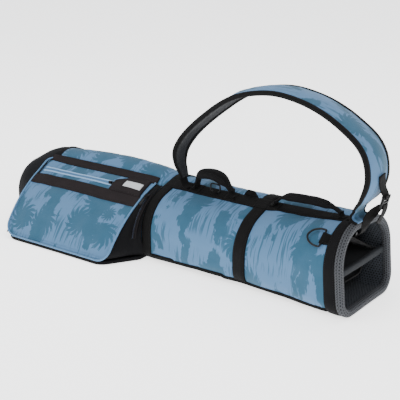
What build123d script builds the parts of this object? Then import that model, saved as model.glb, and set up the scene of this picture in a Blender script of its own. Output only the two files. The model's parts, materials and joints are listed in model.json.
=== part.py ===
"""A slim golf carry bag lying on its flat underside, with its mouth towards +X.

Millimetres, +Z up. The origin is on the ground under the bag's axis, at mid-length.
The zipped pocket is on the -Y side. Each function returns the solids of one sub-part.
"""
from build123d import *
from math import asin, atan2, cos, degrees, hypot, pi, radians, sin
import os

os.makedirs("parts", exist_ok=True)

# ---------------------------------------------------------------- driving dimensions
BASE_END_X = -445.0      # closed end of the moulded base cup
CUP_RIM_X = -385.0       # open edge of the base cup, where the fabric starts
BAND_X = 412.0           # start of the webbing band round the mouth
LIP_X = 432.0            # start of the padded mouth lip
MOUTH_X = 445.0          # open end of the bag

UNDERSIDE = 2.5          # thickness of the wear panel that the bag lies on
WALL = 4.0               # padded fabric
WEBBING = 2.0            # flat webbing
SHEET = 3.0              # pocket fabric with its backing
SEAM = 0.2               # gap left between two sewn pieces
FAR = 600.0              # further than the bag reaches

# The bag's sections: x, half width, crown height, how much lower the front shoulder is
# than the crown, front and back shoulder radius, bottom corner radius, lean (the top is
# set back by this share of the height), and lift off the ground.
STATIONS = [
    (-445.0, 82.0, 138.0, 8.0, 62.0, 58.0, 30.0, 0.00, 4.5),
    (-436.0, 86.0, 147.0, 9.0, 66.0, 60.0, 28.0, 0.00, 2.5),
    (-415.0, 90.0, 155.0, 10.0, 70.0, 60.0, 26.0, 0.00, 2.5),
    (-385.0, 92.0, 160.0, 12.0, 76.0, 60.0, 24.0, 0.00, 2.5),
    (-362.0, 90.0, 160.0, 21.0, 78.0, 60.0, 22.0, 0.00, 2.5),
    (-200.0, 89.0, 161.0, 23.0, 78.0, 60.0, 22.0, 0.00, 2.5),
    (-54.0, 88.0, 158.0, 23.0, 78.0, 60.0, 22.0, 0.00, 2.5),
    (-44.0, 91.0, 158.0, 16.0, 78.0, 60.0, 22.0, 0.00, 2.5),
    (-20.0, 91.0, 158.0, 16.0, 78.0, 60.0, 22.0, 0.00, 2.5),
    (100.0, 88.0, 158.0, 16.0, 78.0, 60.0, 30.0, 0.00, 2.5),
    (205.0, 88.0, 160.0, 16.0, 78.0, 60.0, 36.0, 0.00, 2.5),
    (330.0, 91.0, 164.0, 10.0, 78.0, 62.0, 36.0, 0.04, 2.5),
    (412.0, 95.0, 166.0, 2.0, 76.0, 64.0, 34.0, 0.08, 2.5),
    (432.0, 96.5, 166.0, -2.0, 74.0, 64.0, 34.0, 0.10, 3.5),
    (445.0, 97.0, 165.0, -4.0, 74.0, 64.0, 34.0, 0.10, 5.5),
]

SPINE_Y = -4.0           # middle of the spine webbing
SPINE_WIDTH = 27.0
MID_BAND = (191.0, 220.0)
POCKET_BAND = (-44.0, -20.0)
PANEL_SPLIT_Z = 14.0     # the wear panel turns up this far at the bottom corners

POCKET_X = (-386.0, -66.0)          # ends of the pocket face along its top edge
POCKET_LOW_END = -82.0              # its mouth-side end along the bottom edge
POCKET_TOP = (-14.0, 147.0)         # y and z of the face's top edge
POCKET_LOW = (-172.0, 9.0)          # and of its bottom edge
POCKET_BULGE = 20.0                 # how far the stuffed face stands out of its chord
POCKET_YAW = 2.6                    # degrees that the pocket turns in towards the mouth
POCKET_CROWN = 172.0                # height of the pocket's top panel

TOP_TRIM = (2.6, 18.0)              # strips on the face, as distances down from its top edge
LOWER_TRIM = (53.0, 80.0)
ZIP_LINE = 36.0                     # the valuables zip's distance down the face
ZIP_FROM_X = -372.0
GARAGE_X = (-162.0, -78.0)          # end panel that the zip runs under
GARAGE_TOP = 20.0

DIVIDER_FROM_X = 250.0
DIVIDER_THICK = 3.0
DIVIDER_Z = 84.0

STRAP_WIDTH = 76.0
STRAP_THICK = 10.0
STRAP_Y = -8.0
LIFT_FEET = (36.0, 126.0)
LIFT_RISE = 28.0
LIFT_R = 9.0
GRAB_FEET = (234.0, 380.0)
GRAB_RISE = 22.0
GRAB_R = 7.0
PIVOT_GAP = 2.4          # a foot's rounded end clears its anchor by this much


# ---------------------------------------------------------------- geometry helpers
def hull_edges(circles, at):
    """Closed outline round circles (u, v, radius), anticlockwise; at() places a point."""
    normals = []
    for (u, v, r), (u2, v2, r2) in zip(circles, circles[1:] + circles[:1]):
        along = atan2(v2 - v, u2 - u)
        turn = along - pi / 2 + asin((r - r2) / hypot(u2 - u, v2 - v))
        normals.append((cos(turn), sin(turn)))
    edges = []
    for index, (u, v, r) in enumerate(circles):
        before, after = normals[index - 1], normals[index]
        middle = (before[0] + after[0], before[1] + after[1])
        size = hypot(*middle)
        u2, v2, r2 = circles[(index + 1) % len(circles)]
        start = at(u + r * before[0], v + r * before[1])
        peak = at(u + r * middle[0] / size, v + r * middle[1] / size)
        end = at(u + r * after[0], v + r * after[1])
        edges.append(ThreePointArc(start, peak, end))
        edges.append(Line(end, at(u2 + r2 * after[0], v2 + r2 * after[1])))
    return edges


def block(x0, x1, y0, y1, z0, z1):
    return Pos((x0 + x1) / 2, (y0 + y1) / 2, (z0 + z1) / 2) * Box(x1 - x0, y1 - y0, z1 - z0)


def above(z):
    return block(-FAR, FAR, -FAR, FAR, z, FAR)


def between_x(low, high):
    return block(low, high, -FAR, FAR, -FAR, FAR)


def rod(start, end, radius):
    """A round rod between two points."""
    line = Line(start, end)
    return sweep(Plane(origin=line @ 0, z_dir=line % 0) * Circle(radius), path=line)


def largest(shape):
    """The biggest solid of a cut shape, without the offcuts."""
    return max(shape.solids(), key=lambda solid: solid.volume)


def write(name, shape):
    """Writes one sub-part's solids under a name that a person would use."""
    items = shape if isinstance(shape, list) else [shape]
    solids = [solid for item in items for solid in item.solids()]
    whole = solids[0] if len(solids) == 1 else Compound(children=solids)
    whole.label = name
    export_step(whole, f"parts/{name}.step")


# ---------------------------------------------------------------- the bag's section
def station(x):
    """The bag's section values at x, interpolated between STATIONS."""
    for low, high in zip(STATIONS, STATIONS[1:]):
        if x <= high[0]:
            share = (x - low[0]) / (high[0] - low[0])
            return [a + (b - a) * share for a, b in zip(low[1:], high[1:])]
    return STATIONS[-1][1:]


def section_circles(x, grow=0.0):
    """The four corner circles (y, z, radius) of the bag's section at x."""
    half, crown, drop, front, back, corner, _, lift = station(x)
    return [
        (-half + corner, lift + corner, corner + grow),
        (half - corner, lift + corner, corner + grow),
        (half - back, crown - back, back + grow),
        (-half + front, crown - drop - front, front + grow),
    ]


def bag_solid(start, end, grow=0.0):
    """The bag's filled outline from start to end, grown by grow."""
    middle = [row[0] for row in STATIONS if start + 1 < row[0] < end - 1]
    faces = []
    for x in [start] + middle + [end]:
        lean = station(x)[6]
        faces.append(make_face(hull_edges(section_circles(x, grow), lambda y, z: (x - lean * z, y, z))))
    return loft(faces, ruled=True)


def ring(start, end, outside, inside):
    """A hoop of the bag's section between two growths."""
    return bag_solid(start, end, outside) - bag_solid(start, end, inside)


def surface_z(x, y):
    """Height of the bag's fabric above a point near its spine."""
    _, _, (back_y, back_z, back_r), (front_y, front_z, front_r) = section_circles(x)
    away = hypot(back_y - front_y, back_z - front_z)
    turn = atan2(back_z - front_z, back_y - front_y) + pi / 2 + asin((back_r - front_r) / away)
    start = (front_y + front_r * cos(turn), front_z + front_r * sin(turn))
    end = (back_y + back_r * cos(turn), back_z + back_r * sin(turn))
    return start[1] + (y - start[0]) / (end[0] - start[0]) * (end[1] - start[1])


# ---------------------------------------------------------------- body panels and base
def fabric_wall():
    return ring(CUP_RIM_X, BAND_X, 0, -WALL)


def front_panel():
    panel = fabric_wall() & block(-FAR, FAR, -FAR, SPINE_Y, PANEL_SPLIT_Z, FAR)
    return panel - pocket_envelope()


def back_panel():
    return fabric_wall() & block(-FAR, FAR, SPINE_Y, FAR, PANEL_SPLIT_Z, FAR)


def bottom_panel():
    """Wear panel: the bag's flat black underside, turned up at the corners."""
    return ring(CUP_RIM_X, BAND_X, UNDERSIDE, -WALL) & block(-FAR, FAR, -FAR, FAR, 0, PANEL_SPLIT_Z)


def base_cup():
    """Moulded cup that closes the bottom end."""
    floor_thick = 6.0
    cup_wall = 5.5
    cavity = bag_solid(BASE_END_X + floor_thick, CUP_RIM_X, UNDERSIDE - cup_wall)
    return bag_solid(BASE_END_X, CUP_RIM_X, UNDERSIDE) - cavity - pocket_envelope()


def base_board():
    """Stiffening board lying against the inside of the cup's end."""
    start = BASE_END_X + 6 + SEAM
    return bag_solid(start, start + 3, UNDERSIDE - 7)


def base_strip():
    """Black strip sewn over the top of the cup's edge."""
    strip = ring(CUP_RIM_X, CUP_RIM_X + 20, UNDERSIDE, 0) & above(PANEL_SPLIT_Z)
    return largest(strip - pocket_envelope())


def webbing_band(span):
    """A band round the bag, cut where the spine webbing and the wear panel run."""
    band = ring(span[0], span[1], WEBBING, 0) & above(PANEL_SPLIT_Z)
    half = SPINE_WIDTH / 2 + SEAM
    return band - block(-FAR, FAR, SPINE_Y - half, SPINE_Y + half, 90, FAR)


def spine_webbing():
    """Webbing sewn along the top shoulder, from the pocket to the mouth band."""
    half = SPINE_WIDTH / 2
    strip = ring(POCKET_BAND[0], BAND_X, WEBBING, 0)
    return strip & block(-FAR, FAR, SPINE_Y - half, SPINE_Y + half, 90, FAR)


def spine_stay():
    """Round stay under the spine that keeps the soft bag straight."""
    return rod((CUP_RIM_X + 2, 4, 136), (BAND_X - 2, 4, 136), 4)


def seam_binding(side):
    """Bound seam where the wear panel meets the front (-1) or back (+1) panel."""
    start = POCKET_BAND[1] + SEAM if side < 0 else CUP_RIM_X + 20 + SEAM
    low, high = PANEL_SPLIT_Z + SEAM, PANEL_SPLIT_Z + 4.5
    y_span = (-FAR, 0) if side < 0 else (0, FAR)
    strip = ring(start, BAND_X - SEAM, 3.0, 0) & block(-FAR, FAR, *y_span, low, high)
    for span in (MID_BAND, POCKET_BAND):
        strip -= between_x(span[0] - SEAM, span[1] + SEAM)
    return strip


# ---------------------------------------------------------------- the mouth
def rim_band():
    return ring(BAND_X, LIP_X, UNDERSIDE, -WALL)


def mouth_lip():
    """Padded mesh roll round the open end."""
    return ring(LIP_X, MOUTH_X, UNDERSIDE, -11)


def mouth_hoop():
    """Flat plastic hoop that holds the mouth open, sewn in behind the band."""
    return ring(BAND_X + 3, BAND_X + 15, -WALL - SEAM, -WALL - 2.8)


def mouth_lining():
    """Mesh cuff inside the mouth, between the hoop and the dividers."""
    return ring(LIP_X - 60, LIP_X - SEAM, -WALL - 3, -WALL - 4.5)


def inside_mouth(shape):
    """The part of a shape that lies inside the mouth's lining."""
    return shape & bag_solid(DIVIDER_FROM_X - 10, LIP_X, -WALL - 4.5 - SEAM)


def tilted_sheet(start, end, thickness, x_span):
    """A flat sheet along X whose section runs between two (y, z) points."""
    long = hypot(end[0] - start[0], end[1] - start[1])
    turn = degrees(atan2(end[1] - start[1], end[0] - start[0]))
    middle = Pos(sum(x_span) / 2, (start[0] + end[0]) / 2, (start[1] + end[1]) / 2)
    return middle * Rot(turn, 0, 0) * Box(x_span[1] - x_span[0], long, thickness)


def main_divider():
    half = DIVIDER_THICK / 2
    return inside_mouth(block(DIVIDER_FROM_X, LIP_X - 14, -FAR, FAR, DIVIDER_Z - half, DIVIDER_Z + half))


def divider_bar():
    """Padded bar along the main divider's outer edge, sewn to the lip at both ends."""
    x = LIP_X - 8
    bar = rod((x, -FAR / 4, DIVIDER_Z), (x, FAR / 4, DIVIDER_Z), 5.5) & between_x(LIP_X - 14 + SEAM, FAR)
    return bar & bag_solid(LIP_X - 60, MOUTH_X, -WALL - 7.5 - SEAM)


def upper_divider():
    """Sheet from the top of the mouth by the spine down to the far end of the bar."""
    sheet = tilted_sheet((-50, 154), (62, DIVIDER_Z + 6), DIVIDER_THICK, (DIVIDER_FROM_X, LIP_X - 16))
    return inside_mouth(sheet)


def lower_divider():
    """Bent sheet below the bar, from its middle down and across to the front wall."""
    corner = (16.0, 54.0)
    x_span = (DIVIDER_FROM_X, LIP_X - 16)
    sheet = tilted_sheet((26, DIVIDER_Z - 3), corner, DIVIDER_THICK, x_span)
    sheet += tilted_sheet(corner, (-110, 60), DIVIDER_THICK, x_span)
    sheet += rod((x_span[0], *corner), (x_span[1], *corner), DIVIDER_THICK / 2)
    return inside_mouth(sheet)


# ---------------------------------------------------------------- the pocket
POCKET_FALL = (POCKET_LOW[0] - POCKET_TOP[0], POCKET_LOW[1] - POCKET_TOP[1])
POCKET_CHORD = hypot(*POCKET_FALL)
POCKET_OUT = (POCKET_FALL[1] / POCKET_CHORD, -POCKET_FALL[0] / POCKET_CHORD)
POCKET_R = (POCKET_CHORD ** 2 / 4 + POCKET_BULGE ** 2) / (2 * POCKET_BULGE)
POCKET_CENTRE = tuple(
    (top + low) / 2 - (POCKET_R - POCKET_BULGE) * out
    for top, low, out in zip(POCKET_TOP, POCKET_LOW, POCKET_OUT)
)
POCKET_START = atan2(POCKET_TOP[1] - POCKET_CENTRE[1], POCKET_TOP[0] - POCKET_CENTRE[0])
POCKET_DROP = 2 * asin(POCKET_CHORD / 2 / POCKET_R) * POCKET_R     # length down the curved face


def in_place(shape):
    """Turns a pocket piece, made square to the bag, by the pocket's slight yaw."""
    return Pos(POCKET_X[1], 0, 0) * Rot(0, 0, POCKET_YAW) * Pos(-POCKET_X[1], 0, 0) * shape


def face_point(x, down, out):
    """A point on the pocket's curved face: x, the distance down it, and out from it."""
    turn = POCKET_START + down / POCKET_R
    radius = POCKET_R + out
    return (x, POCKET_CENTRE[0] + radius * cos(turn), POCKET_CENTRE[1] + radius * sin(turn))


def face_strip(x_span, down_span, out_span):
    """A curved slab on the pocket's face, before its yaw."""
    (low, high), (near, far) = down_span, out_span
    middle = (low + high) / 2
    x = x_span[0]
    edges = [
        ThreePointArc(face_point(x, low, far), face_point(x, middle, far), face_point(x, high, far)),
        Line(face_point(x, high, far), face_point(x, high, near)),
        ThreePointArc(face_point(x, high, near), face_point(x, middle, near), face_point(x, low, near)),
        Line(face_point(x, low, near), face_point(x, low, far)),
    ]
    return extrude(make_face(edges), amount=x_span[1] - x_span[0], dir=(1, 0, 0))


def face_prism(grow):
    """A block with the outline of the pocket's face, square to its chord."""
    top_r, low_r = 8.0, 32.0
    circles = [
        (POCKET_X[0] + low_r, low_r - POCKET_CHORD, low_r + grow),
        (POCKET_LOW_END - low_r, low_r - POCKET_CHORD, low_r + grow),
        (POCKET_X[1] - top_r, -top_r, top_r + grow),
        (POCKET_X[0] + top_r, -top_r, top_r + grow),
    ]
    origin = (0, *POCKET_TOP)
    plane = Plane(origin=origin, x_dir=(1, 0, 0), z_dir=(0, *POCKET_OUT))
    edges = hull_edges(circles, lambda u, v: plane.from_local_coords(Vector(u, v, 0)))
    return extrude(make_face(edges), amount=60, dir=(0, *POCKET_OUT), both=True)


def pocket_envelope():
    """The room that the pocket's face, piping and trims take out of what lies behind."""
    span = (POCKET_X[0] - 12, POCKET_X[1] + 12)
    slab = face_strip(span, (-7, POCKET_DROP + 7), (-SHEET - SEAM, 9))
    return in_place(slab & face_prism(2 + SEAM))


def pocket_face():
    slab = face_strip((POCKET_X[0] - 5, POCKET_X[1] + 5), (-1, POCKET_DROP + 1), (-SHEET, 0))
    return in_place(slab & face_prism(-2))


def pocket_piping():
    """Corded edge that runs round the pocket's face."""
    slab = face_strip((POCKET_X[0] - 9, POCKET_X[1] + 9), (-6, POCKET_DROP + 6), (-SHEET, 1.5))
    return in_place(slab & (face_prism(2) - face_prism(-2 + SEAM)))


def top_trim():
    span = (POCKET_X[0] + 14, POCKET_X[1] - 4)
    return in_place(face_strip(span, TOP_TRIM, (SEAM, 2)))


def lower_trim():
    span = (POCKET_X[0] + 4, POCKET_X[1] - 14)
    return in_place(face_strip(span, LOWER_TRIM, (SEAM, 2.2)))


def zip_garage():
    """Black end panel that covers the closed end of the valuables zip."""
    return in_place(face_strip(GARAGE_X, (GARAGE_TOP, LOWER_TRIM[0] - SEAM), (2.4, 4.4)))


def pocket_label():
    """Plain woven label with nothing on it."""
    return in_place(face_strip((GARAGE_X[0] + 30, GARAGE_X[0] + 76), (22, 39), (4.6, 5.4)))


def valuables_zip():
    """Zip tape with its row of coils, across the top of the face."""
    tape = face_strip((ZIP_FROM_X, GARAGE_X[1]), (ZIP_LINE - 9, ZIP_LINE + 9), (SEAM, 1.0))
    coil = face_strip((ZIP_FROM_X, GARAGE_X[1]), (ZIP_LINE - 2, ZIP_LINE + 2), (1.0, 2.0))
    return in_place(tape + coil)


def circle_through(a, b, c):
    """Centre (y, z) and radius of the circle through three (y, z) points."""
    ax, ay, bx, by, cx, cy = *a, *b, *c
    d = 2 * (ax * (by - cy) + bx * (cy - ay) + cx * (ay - by))
    sa, sb, sc = ax * ax + ay * ay, bx * bx + by * by, cx * cx + cy * cy
    y = (sa * (by - cy) + sb * (cy - ay) + sc * (ay - by)) / d
    z = (sa * (cx - bx) + sb * (ax - cx) + sc * (bx - ax)) / d
    return y, z, hypot(ax - y, ay - z)


def band_face(outer, inner):
    """A curved band between two arcs, each given by three points in one plane."""
    return make_face([
        ThreePointArc(*outer),
        Line(outer[2], inner[2]),
        ThreePointArc(*reversed(inner)),
        Line(inner[0], outer[0]),
    ])


def crown_section(x, front, crown, back):
    """Section of the pocket's padded top at x: an arc through three (y, z) points."""
    arc = [(x, *point) for point in (front, crown, back)]
    low = 100
    return make_face([
        ThreePointArc(*arc),
        Polyline(arc[2], (x, back[0], low), (x, front[0], low), arc[0]),
    ])


def pocket_top_panel():
    """Padded, domed top from the pocket's trim over the bag's crown to its back."""
    top = POCKET_CROWN
    sections = [
        crown_section(-383, (-8, 151.5), (24, top - 10), (64, 152)),
        crown_section(-335, (-8, 151.5), (24, top - 4), (72, 145)),
        crown_section(-230, (-8, 151.5), (24, top), (76, 142)),
        crown_section(-130, (-8, 151.5), (24, top - 1), (76, 142)),
        crown_section(-80, (-8, 151), (24, top - 5), (72, 142)),
        crown_section(POCKET_BAND[0] - 2, (-8, 146), (24, top - 11), (64, 148)),
    ]
    dome = in_place(loft(sections, ruled=True)) - bag_solid(CUP_RIM_X - 30, 0, SEAM)
    return largest(dome - bag_solid(CUP_RIM_X - 30, CUP_RIM_X + 20, UNDERSIDE + SEAM))


def side_point(down, out):
    """A point on the face's mouth-side edge, which slants in towards the bottom."""
    _, y, z = face_point(0, down, out)
    fallen = (y - POCKET_TOP[0]) * POCKET_FALL[0] + (z - POCKET_TOP[1]) * POCKET_FALL[1]
    slant = (POCKET_LOW_END - POCKET_X[1]) / POCKET_CHORD ** 2
    return (POCKET_X[1] + fallen * slant, y, z)


GUSSET_END = [(-22, 146), (-98, 78), (-84, 9)]      # y and z where it meets the bag's band
GUSSET_DOWN = (5, POCKET_DROP / 2, POCKET_DROP - 6)


def gusset_mouth():
    """Slanting end wall from the face's mouth-side edge back to the pocket's band."""
    y, z, radius = circle_through(*GUSSET_END)
    share = (radius - SHEET) / radius
    outer = [(POCKET_BAND[0] - 2, *point) for point in GUSSET_END]
    inner = [(point[0], y + (point[1] - y) * share, z + (point[2] - z) * share) for point in outer]
    near = band_face([side_point(s, -1) for s in GUSSET_DOWN], [side_point(s, -1 - SHEET) for s in GUSSET_DOWN])
    wall = in_place(loft([near, band_face(outer, inner)], ruled=True))
    wall -= bag_solid(-200, 0, SEAM) + (bag_solid(-200, 0, UNDERSIDE + SEAM) - above(PANEL_SPLIT_Z))
    wall -= between_x(POCKET_BAND[0] - SEAM, FAR) + above(POCKET_TOP[1] - 4)
    return largest(wall - pocket_envelope() - slider_channel())


def gusset_base():
    """End wall of the pocket beside the base cup."""
    inside = -SHEET - SEAM
    x = POCKET_X[0] + 3
    outline = make_face([
        ThreePointArc(*[face_point(x, s, inside) for s in (6, POCKET_DROP / 2, POCKET_DROP - 30)]),
        Polyline(face_point(x, POCKET_DROP - 30, inside), (x, -120, 4), (x, -50, 4), (x, -10, 120),
                 face_point(x, 6, inside)),
    ])
    wall = in_place(extrude(outline, amount=SHEET, dir=(1, 0, 0)))
    return largest(wall - bag_solid(CUP_RIM_X - 20, 0, UNDERSIDE + SEAM) - pocket_bottom())


def pocket_bottom():
    """Bottom gusset: a floor with a low upright edge under the face's piping."""
    height = 8.0
    front = POCKET_LOW[0] - 3
    circles = [
        (POCKET_X[0] + 34, front + 32, 32),
        (POCKET_LOW_END - 32, front + 32, 32),
        (POCKET_BAND[0] - 14, -98, 10),
        (POCKET_BAND[0] - 14, -60, 10),
        (POCKET_X[0] + 12, -60, 10),
    ]

    def slab(grow, low, high):
        grown = [(u, v, r + grow) for u, v, r in circles]
        return extrude(make_face(hull_edges(grown, lambda u, v: (u, v, low))), amount=high - low, dir=(0, 0, 1))

    tray = in_place(slab(0, 0, height) - slab(-SHEET, SHEET, height))
    tray -= bag_solid(CUP_RIM_X - 20, 0, UNDERSIDE + SEAM)
    inner = in_place(face_strip((POCKET_X[0] - 9, POCKET_X[1] + 20), (60, POCKET_DROP + 12), (-60, 1.7)))
    return largest(tray - (inner & block(-FAR, FAR, -FAR, FAR, SHEET + SEAM, FAR)))


# ---------------------------------------------------------------- zips
def zip_slider():
    """Slider body and bridge: x along the zip, z out of it, on coils whose top is z = 0."""
    body = block(-5.5, 5.5, -4.5, 4.5, 0.5, 3)
    posts = block(-3.5, -1.5, -2, 2, 2.8, 7.6) + block(1.5, 3.5, -2, 2, 2.8, 7.6)
    return body + posts + block(-3.5, 3.5, -2, 2, 6.2, 7.6)


PULL_PIN_Z = 4.6         # height of a pull's pin above the coils


def zip_pull():
    """Pull that hangs on a slider's bridge by a pin across it."""
    pin = rod((0, -4, PULL_PIN_Z), (0, 4, PULL_PIN_Z), 0.9)
    low, high = PULL_PIN_Z - 0.8, PULL_PIN_Z + 0.8
    arms = block(-1, 10, 2.7, 4.4, low, high) + block(-1, 10, -4.4, -2.7, low, high)
    return pin + arms + block(9, 24, -4.4, 4.4, low, high)


def valuables_place():
    """Where the valuables slider sits: just outside its garage, on the coils."""
    x, y, z = face_point(GARAGE_X[0] - 8, ZIP_LINE, 2.0)
    out = (0, y - POCKET_CENTRE[0], z - POCKET_CENTRE[1])
    return Plane(origin=(x, y, z), x_dir=(1, 0, 0), z_dir=out).location


def valuables_slider():
    return in_place(valuables_place() * zip_slider())


def valuables_pull():
    return in_place(valuables_place() * zip_pull())


def gusset_point(share_down, share_back, out):
    """A point on the mouth-side gusset, and out from it."""
    spread = [side_point(s, -1) for s in GUSSET_DOWN]
    near = Vector(*ThreePointArc(*spread).position_at(share_down))
    far_arc = ThreePointArc(*[(POCKET_BAND[0] - 2, *point) for point in GUSSET_END])
    far = Vector(*far_arc.position_at(share_down))
    along = ThreePointArc(*spread).tangent_at(share_down) + far_arc.tangent_at(share_down)
    normal = along.cross(far - near).normalized()
    return near + (far - near) * share_back + normal * out, normal


ZIP_SHARES = (0.2, 0.48, 0.76)       # how far down the gusset the zip's ends and middle are
ZIP_BACK = 0.62                      # how far back from the face's edge


def apparel_arc(out):
    """The apparel zip's line, as an arc over the gusset."""
    return ThreePointArc(*[gusset_point(share, ZIP_BACK, out)[0] for share in ZIP_SHARES])


def apparel_frame(share, out):
    """A plane on the apparel zip: x along it, z out of the gusset."""
    arc = apparel_arc(out)
    normal = gusset_point(ZIP_SHARES[0] + share * (ZIP_SHARES[2] - ZIP_SHARES[0]), ZIP_BACK, 0)[1]
    along = arc % share
    across = normal.cross(along).normalized()
    return Plane(origin=arc @ share, x_dir=along, z_dir=along.cross(across))


def apparel_zip():
    """Zip tape and coils on the gusset, along an arc."""
    tape = sweep(apparel_frame(0, 0.9) * Rot(0, 90, 0) * Rectangle(1.0, 16), path=apparel_arc(0.9))
    coil = sweep(apparel_frame(0, 1.9) * Rot(0, 90, 0) * Rectangle(1.0, 4), path=apparel_arc(1.9))
    return in_place(tape + coil)


def slider_channel():
    """Room for the apparel zip's slider where the gusset swells."""
    channel = apparel_frame(0, 4.5) * Rot(0, 90, 0) * Rectangle(4.4, 13.4)
    return in_place(sweep(channel, path=apparel_arc(4.5)))


APPAREL_PARK = 0.08                  # the slider's rest place along the coils


def apparel_slider():
    return in_place(apparel_frame(APPAREL_PARK, 2.6).location * zip_slider())


def apparel_pull():
    return in_place(apparel_frame(APPAREL_PARK, 2.6).location * zip_pull())


# ---------------------------------------------------------------- handles and patches
def spine_top(x):
    """Height of the spine webbing's top face at x."""
    return surface_z(x, SPINE_Y) + WEBBING


def patch(start, end, half_width, low, high, y=SPINE_Y):
    """A flat patch on the bag's top between two growths."""
    return ring(start, end, high, low) & block(-FAR, FAR, y - half_width, y + half_width, 90, FAR)


def anchors(feet, half_width):
    """A sewn patch under each foot of a handle."""
    top = WEBBING + 1.5
    return [patch(x - 13, x + 13, half_width, WEBBING, top) for x in feet]


def grip(feet, shares, rise, radius):
    """A carrying handle: its ends are round about the line that it swings on."""
    lift = 1.5 + radius + PIVOT_GAP
    (x0, z0), (x1, z1) = [(x, spine_top(x) + lift) for x in feet]
    points = []
    for along, up in [(0, 0), *shares, (1, 0)]:
        points.append((x0 + (x1 - x0) * along, SPINE_Y, z0 + (z1 - z0) * along + rise * up))
    line = FilletPolyline(*points, radius=radius + 2)
    bar = sweep(Plane(origin=line @ 0, z_dir=line % 0) * Circle(radius), path=line)
    return bar + Pos(*points[0]) * Sphere(radius) + Pos(*points[-1]) * Sphere(radius)


def lift_handle():
    """Padded main carrying handle."""
    return grip(LIFT_FEET, [(0.1, 0.75), (0.32, 1.0), (0.62, 0.94), (0.88, 0.45)], LIFT_RISE, LIFT_R)


def grab_handle():
    """Slim second handle near the mouth."""
    return grip(GRAB_FEET, [(0.1, 0.72), (0.24, 1.0), (0.66, 0.96), (0.88, 0.6)], GRAB_RISE, GRAB_R)


def spine_patch():
    """Patch over the place where the middle band crosses the spine."""
    return patch(MID_BAND[0] - 4, GRAB_FEET[0] - 14, 14, WEBBING, WEBBING + 1.2)


def tag_loop():
    """Folded webbing tag that stands up at the spine's back edge."""
    y = SPINE_Y + SPINE_WIDTH / 2 + 0.4
    z = surface_z(165, y)
    outline = make_face(Polyline((146, y, z + 1), (184, y, z + 1), (172, y, z + 13), (158, y, z + 13), close=True))
    return extrude(outline, amount=1.6, dir=(0, 1, 0)) - bag_solid(120, 200, SEAM)


KEEPER_X = 84.0
KEEPER_PIVOT = 3.4       # height of the keeper ring's pivot above the spine webbing


def keeper_tab():
    """Small sewn loop that holds the keeper ring's lower bar."""
    top = spine_top(KEEPER_X)
    loop = rod((KEEPER_X - 5, SPINE_Y, top + KEEPER_PIVOT), (KEEPER_X + 5, SPINE_Y, top + KEEPER_PIVOT), 3.2)
    hole = rod((KEEPER_X - 6, SPINE_Y, top + KEEPER_PIVOT), (KEEPER_X + 6, SPINE_Y, top + KEEPER_PIVOT), 2.1)
    loop += patch(KEEPER_X - 8, KEEPER_X + 8, 9, WEBBING, WEBBING + 0.6)
    return loop - hole - bag_solid(KEEPER_X - 20, KEEPER_X + 20, WEBBING)


def keeper_ring():
    """Plastic ring that stands in its loop under the main handle."""
    half, height, bar = 12.0, 17.0, 1.6
    z = spine_top(KEEPER_X) + KEEPER_PIVOT
    low, high = (KEEPER_X - half, z), (KEEPER_X + half, z + height)
    sides = [
        rod((low[0], SPINE_Y, low[1]), (high[0], SPINE_Y, low[1]), bar),
        rod((low[0], SPINE_Y, high[1]), (high[0], SPINE_Y, high[1]), bar),
        rod((low[0], SPINE_Y, low[1]), (low[0], SPINE_Y, high[1]), bar),
        rod((high[0], SPINE_Y, low[1]), (high[0], SPINE_Y, high[1]), bar),
    ]
    corners = [Pos(x, SPINE_Y, z) * Sphere(bar) for x in (low[0], high[0]) for z in (low[1], high[1])]
    ring_solid = sides[0]
    for piece in sides[1:] + corners:
        ring_solid += piece
    return ring_solid


# ---------------------------------------------------------------- accessory D-ring
D_RING_X = 381.0
D_RING_TURN = radians(132)           # place round the front shoulder
D_RING_LIFT = 4.9                    # the bar's height above the fabric
D_RING_BAR = 1.9


def d_ring_frame():
    """Plane on the D-ring's bar: x away from the mouth, z out of the bag."""
    y, z, radius = section_circles(D_RING_X)[3]
    reach = radius + D_RING_LIFT
    out = (0, cos(D_RING_TURN), sin(D_RING_TURN))
    origin = (D_RING_X, y + reach * out[1], z + reach * out[2])
    return Plane(origin=origin, x_dir=(-1, 0, 0), z_dir=out)


def d_ring():
    """Ring with a straight bar, which lies on the fabric and swings out."""
    circles = [(2, -16, 4), (14, 0, 20), (2, 16, 4)]
    outline = [make_face(hull_edges([(u, v, r + grow) for u, v, r in circles], lambda u, v: (u, v, 0)))
               for grow in (0, -3.8)]
    flat = extrude(outline[0], amount=D_RING_BAR, both=True) - extrude(outline[1], amount=9, both=True)
    return d_ring_frame().location * flat


def d_ring_tab():
    """Webbing tab, sewn under the mouth band, that wraps the D-ring's bar."""
    wrap = rod((0, -11, 0), (0, 11, 0), 4.0) + block(-16, 0, -11, 11, -4, -2)
    tab = wrap - rod((0, -12, 0), (0, 12, 0), 3.1)
    tab = d_ring_frame().location * tab
    return tab - bag_solid(300, LIP_X, SEAM) - rim_band()


# ---------------------------------------------------------------- shoulder strap
# The pad's inner line from its base-side foot over the top to its mouth-side foot: x, z
# and width. It is wide over the shoulder and narrow where it is sewn on.
STRAP_LINE = [
    (1.0, 184.0, 26.0), (-6.0, 206.0, 36.0), (0.0, 236.0, 48.0), (32.0, 277.0, 60.0),
    (88.0, 325.0, 72.0), (160.0, 370.0, STRAP_WIDTH), (245.0, 387.0, STRAP_WIDTH),
    (322.0, 376.0, STRAP_WIDTH), (390.0, 345.0, STRAP_WIDTH), (434.0, 309.0, 79.0),
    (448.0, 263.0, 80.0), (438.0, 223.0, 66.0), (416.0, 193.5, 34.0),
]
STRAP_FOOT_X = (8.0, 405.0)
RIM_FOOT_X = 418.0       # the mouth-side foot's place, measured along the ground
PATCH_THICK = 1.5
STRAP_PIVOT_R = 5.0


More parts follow.
